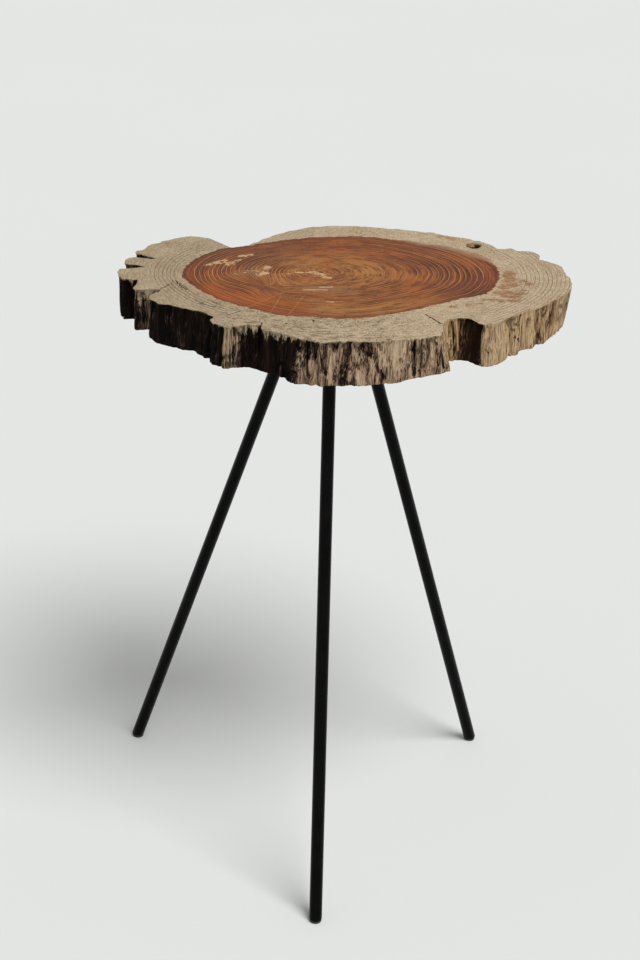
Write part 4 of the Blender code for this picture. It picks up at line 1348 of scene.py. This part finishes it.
class SIDETABLE_OT_slab(bpy.types.Operator):
    """Build the slice of wood with its sawn faces and split sides"""
    bl_idname = "side_table.slab"
    bl_label = "Slab"

    def execute(self, context):
        colours = context.scene.side_table_colours
        sapwood = sapwood_group(colours)
        materials = [sawn_wood(colours, sapwood, streak_group()), split_wood(colours, sapwood)]
        add_piece("tree_slice", make_slab_mesh(context.scene.side_table_slab), materials, ["slab_top"])
        return {"FINISHED"}


class SIDETABLE_OT_steelwork(bpy.types.Operator):
    """Build the three rods and their welds, and finish the plate and the screws"""
    bl_idname = "side_table.steelwork"
    bl_label = "Steelwork"

    def execute(self, context):
        steel = context.scene.side_table_steel
        wear = wear_group()
        rod = worn_material("black_steel_rod", wear, steel.steel, steel.dust)
        weld = worn_material("weld_bead", wear, steel.steel, steel.dust)
        zinc = worn_material("zinc_screw", wear, steel.zinc, steel.dust)
        for side in leg_sides:
            leg = f"leg_{side}"
            add_piece(f"rod_{side}", make_rod_mesh(leg, steel), [rod], [leg])
            bead = make_weld_mesh(f"weld_{side}", leg, steel)
            add_piece(f"bead_{side}", bead, [weld], [f"weld_{side}"])
        finishes = {"mounting_plate": rod}
        finishes.update({name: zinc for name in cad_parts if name.startswith("screw_")})
        for name, finish in finishes.items():
            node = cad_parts[name]
            if not node.material_slots:
                raise RuntimeError(f"{name} has no material slot")
            node.material_slots[0].material = finish
        return {"FINISHED"}


class SIDETABLE_OT_glides(bpy.types.Operator):
    """Build the pads under the rods"""
    bl_idname = "side_table.glides"
    bl_label = "Glides"

    def execute(self, context):
        steel = context.scene.side_table_steel
        wear = bpy.data.node_groups.get("handling_wear") or wear_group()
        rubber = worn_material("rubber_pad", wear, steel.rubber, steel.dust)
        for side in leg_sides:
            name = f"glide_{side}"
            add_piece(f"pad_{side}", make_glide_mesh(name, steel.rod_sides), [rubber], [name])
        return {"FINISHED"}


def floor_material(colour):
    """Painted studio floor, a little uneven in tone. It can't be seen from below, so that views from there show
    the table."""
    material, bench, shader = new_material("studio_floor", {"Roughness": 0.75, "Specular IOR Level": 0.2})
    cloud = bench.noise(bench.place(), 1.6, 4.0, 0.55)
    darker = tuple(channel * 0.97 for channel in colour[:3])
    bench.tree.links.new(bench.mix(cloud, darker, tuple(colour)), shader["Base Color"])
    behind = bench.add("ShaderNodeNewGeometry", output="Backfacing")
    clear = bench.add("ShaderNodeBsdfTransparent")
    surface = bench.tree.nodes["Principled BSDF"].outputs[0]
    both = bench.add("ShaderNodeMixShader", {0: behind, 1: surface, 2: clear})
    bench.tree.links.new(both, bench.tree.nodes["Material Output"].inputs["Surface"])
    return material


def floor_mesh(reach):
    """A flat square grid of points, from -reach to reach both ways."""
    side = np.linspace(-reach, reach, floor_points)
    wide, deep = np.meshgrid(side, side)
    points = np.dstack([wide, deep, wide * 0]).reshape(-1, 3)
    first = np.arange(floor_points - 1)
    corner = first[:, None] * floor_points + first[None]
    beyond = corner + floor_points
    quads = np.stack([corner, corner + 1, beyond + 1, beyond], axis=-1).reshape(-1, 4)
    return make_mesh("studio_floor", points, quads)


def soft_sun(stage):
    """A wide, soft sun that lights the table and the floor evenly from one side."""
    lamp = bpy.data.lights.new("soft_sun", "SUN")
    lamp.energy = stage.sun_strength
    lamp.angle = stage.sun_width
    holder = bpy.data.objects.new("soft_sun", lamp)
    holder.rotation_euler = Vector(stage.sun_side).to_track_quat("Z", "Y").to_euler()
    bpy.context.scene.collection.objects.link(holder)


def studio_air(stage):
    """The world: at full strength where the camera or a reflection sees it, and as ambient light elsewhere."""
    world = bpy.data.worlds.new("studio_air")
    world.use_nodes = True
    bench = NodeBench(world.node_tree)
    sky = world.node_tree.nodes["Background"].inputs
    path = world.node_tree.nodes.new("ShaderNodeLightPath").outputs
    seen = bench.larger(path["Is Camera Ray"], path["Is Glossy Ray"])
    seen = bench.larger(seen, path["Is Transmission Ray"])
    sky["Color"].default_value = (*stage.air_colour, 1.0)
    bench.tree.links.new(bench.linear(seen, 1.0 - stage.ambient, stage.ambient), sky["Strength"])
    return world


def camera_matrix(stage):
    """The camera's columns are right, up and back, from its heading, pitch and roll."""
    heading, pitch, roll = stage.camera_heading, stage.camera_pitch, stage.camera_roll
    ahead = math.cos(pitch)
    forward = Vector((math.sin(heading) * ahead, math.cos(heading) * ahead, -math.sin(pitch)))
    level = Vector((math.cos(heading), -math.sin(heading), 0))
    down = forward.cross(level)
    right = math.cos(roll) * level - math.sin(roll) * down
    below = math.sin(roll) * level + math.cos(roll) * down
    turned = Matrix((right, -below, -forward)).transposed().to_4x4()
    return Matrix.Translation(Vector(stage.camera_place)) @ turned


class SIDETABLE_OT_stage(bpy.types.Operator):
    """Set up the floor, the soft light and the camera"""
    bl_idname = "side_table.stage"
    bl_label = "Stage"

    def execute(self, context):
        scene = context.scene
        stage = scene.side_table_stage
        floor = bpy.data.objects.new("studio_floor", floor_mesh(stage.floor_reach))
        floor.data.materials.append(floor_material(stage.floor_colour))
        scene.collection.objects.link(floor)
        soft_sun(stage)
        scene.world = studio_air(stage)

        lens = bpy.data.cameras.new("camera")
        lens.lens = stage.lens
        camera = bpy.data.objects.new("camera", lens)
        camera.matrix_world = camera_matrix(stage)
        scene.collection.objects.link(camera)
        scene.camera = camera
        scene.view_settings.view_transform = "Standard"
        return {"FINISHED"}


class SIDETABLE_PT_panel(bpy.types.Panel):
    """Lists the steps that build the table"""
    bl_label = "Side Table"
    bl_space_type = "VIEW_3D"
    bl_region_type = "UI"
    bl_category = "Side Table"

    def draw(self, context):
        for step in steps:
            self.layout.operator(step.bl_idname)


steps = (SIDETABLE_OT_slab, SIDETABLE_OT_steelwork, SIDETABLE_OT_glides, SIDETABLE_OT_stage)
setting_groups = {"side_table_slab": SlabSizes, "side_table_colours": SlabColours,
                  "side_table_steel": SteelSettings, "side_table_stage": StageSettings}


def register():
    """Make the settings, the steps and the panel known to Blender."""
    for group in setting_groups.values():
        bpy.utils.register_class(group)
    for step in (*steps, SIDETABLE_PT_panel):
        bpy.utils.register_class(step)
    for name, group in setting_groups.items():
        setattr(bpy.types.Scene, name, PointerProperty(type=group))


def unregister():
    """Take the settings, the panel and the steps away again."""
    for name in setting_groups:
        delattr(bpy.types.Scene, name)
    for thing in (SIDETABLE_PT_panel, *reversed(steps), *setting_groups.values()):
        bpy.utils.unregister_class(thing)


def main():
    """Build the table and its stage."""
    register()
    bpy.ops.side_table.slab()
    bpy.ops.side_table.steelwork()
    bpy.ops.side_table.glides()
    bpy.ops.side_table.stage()


if __name__ == "__main__":
    main()
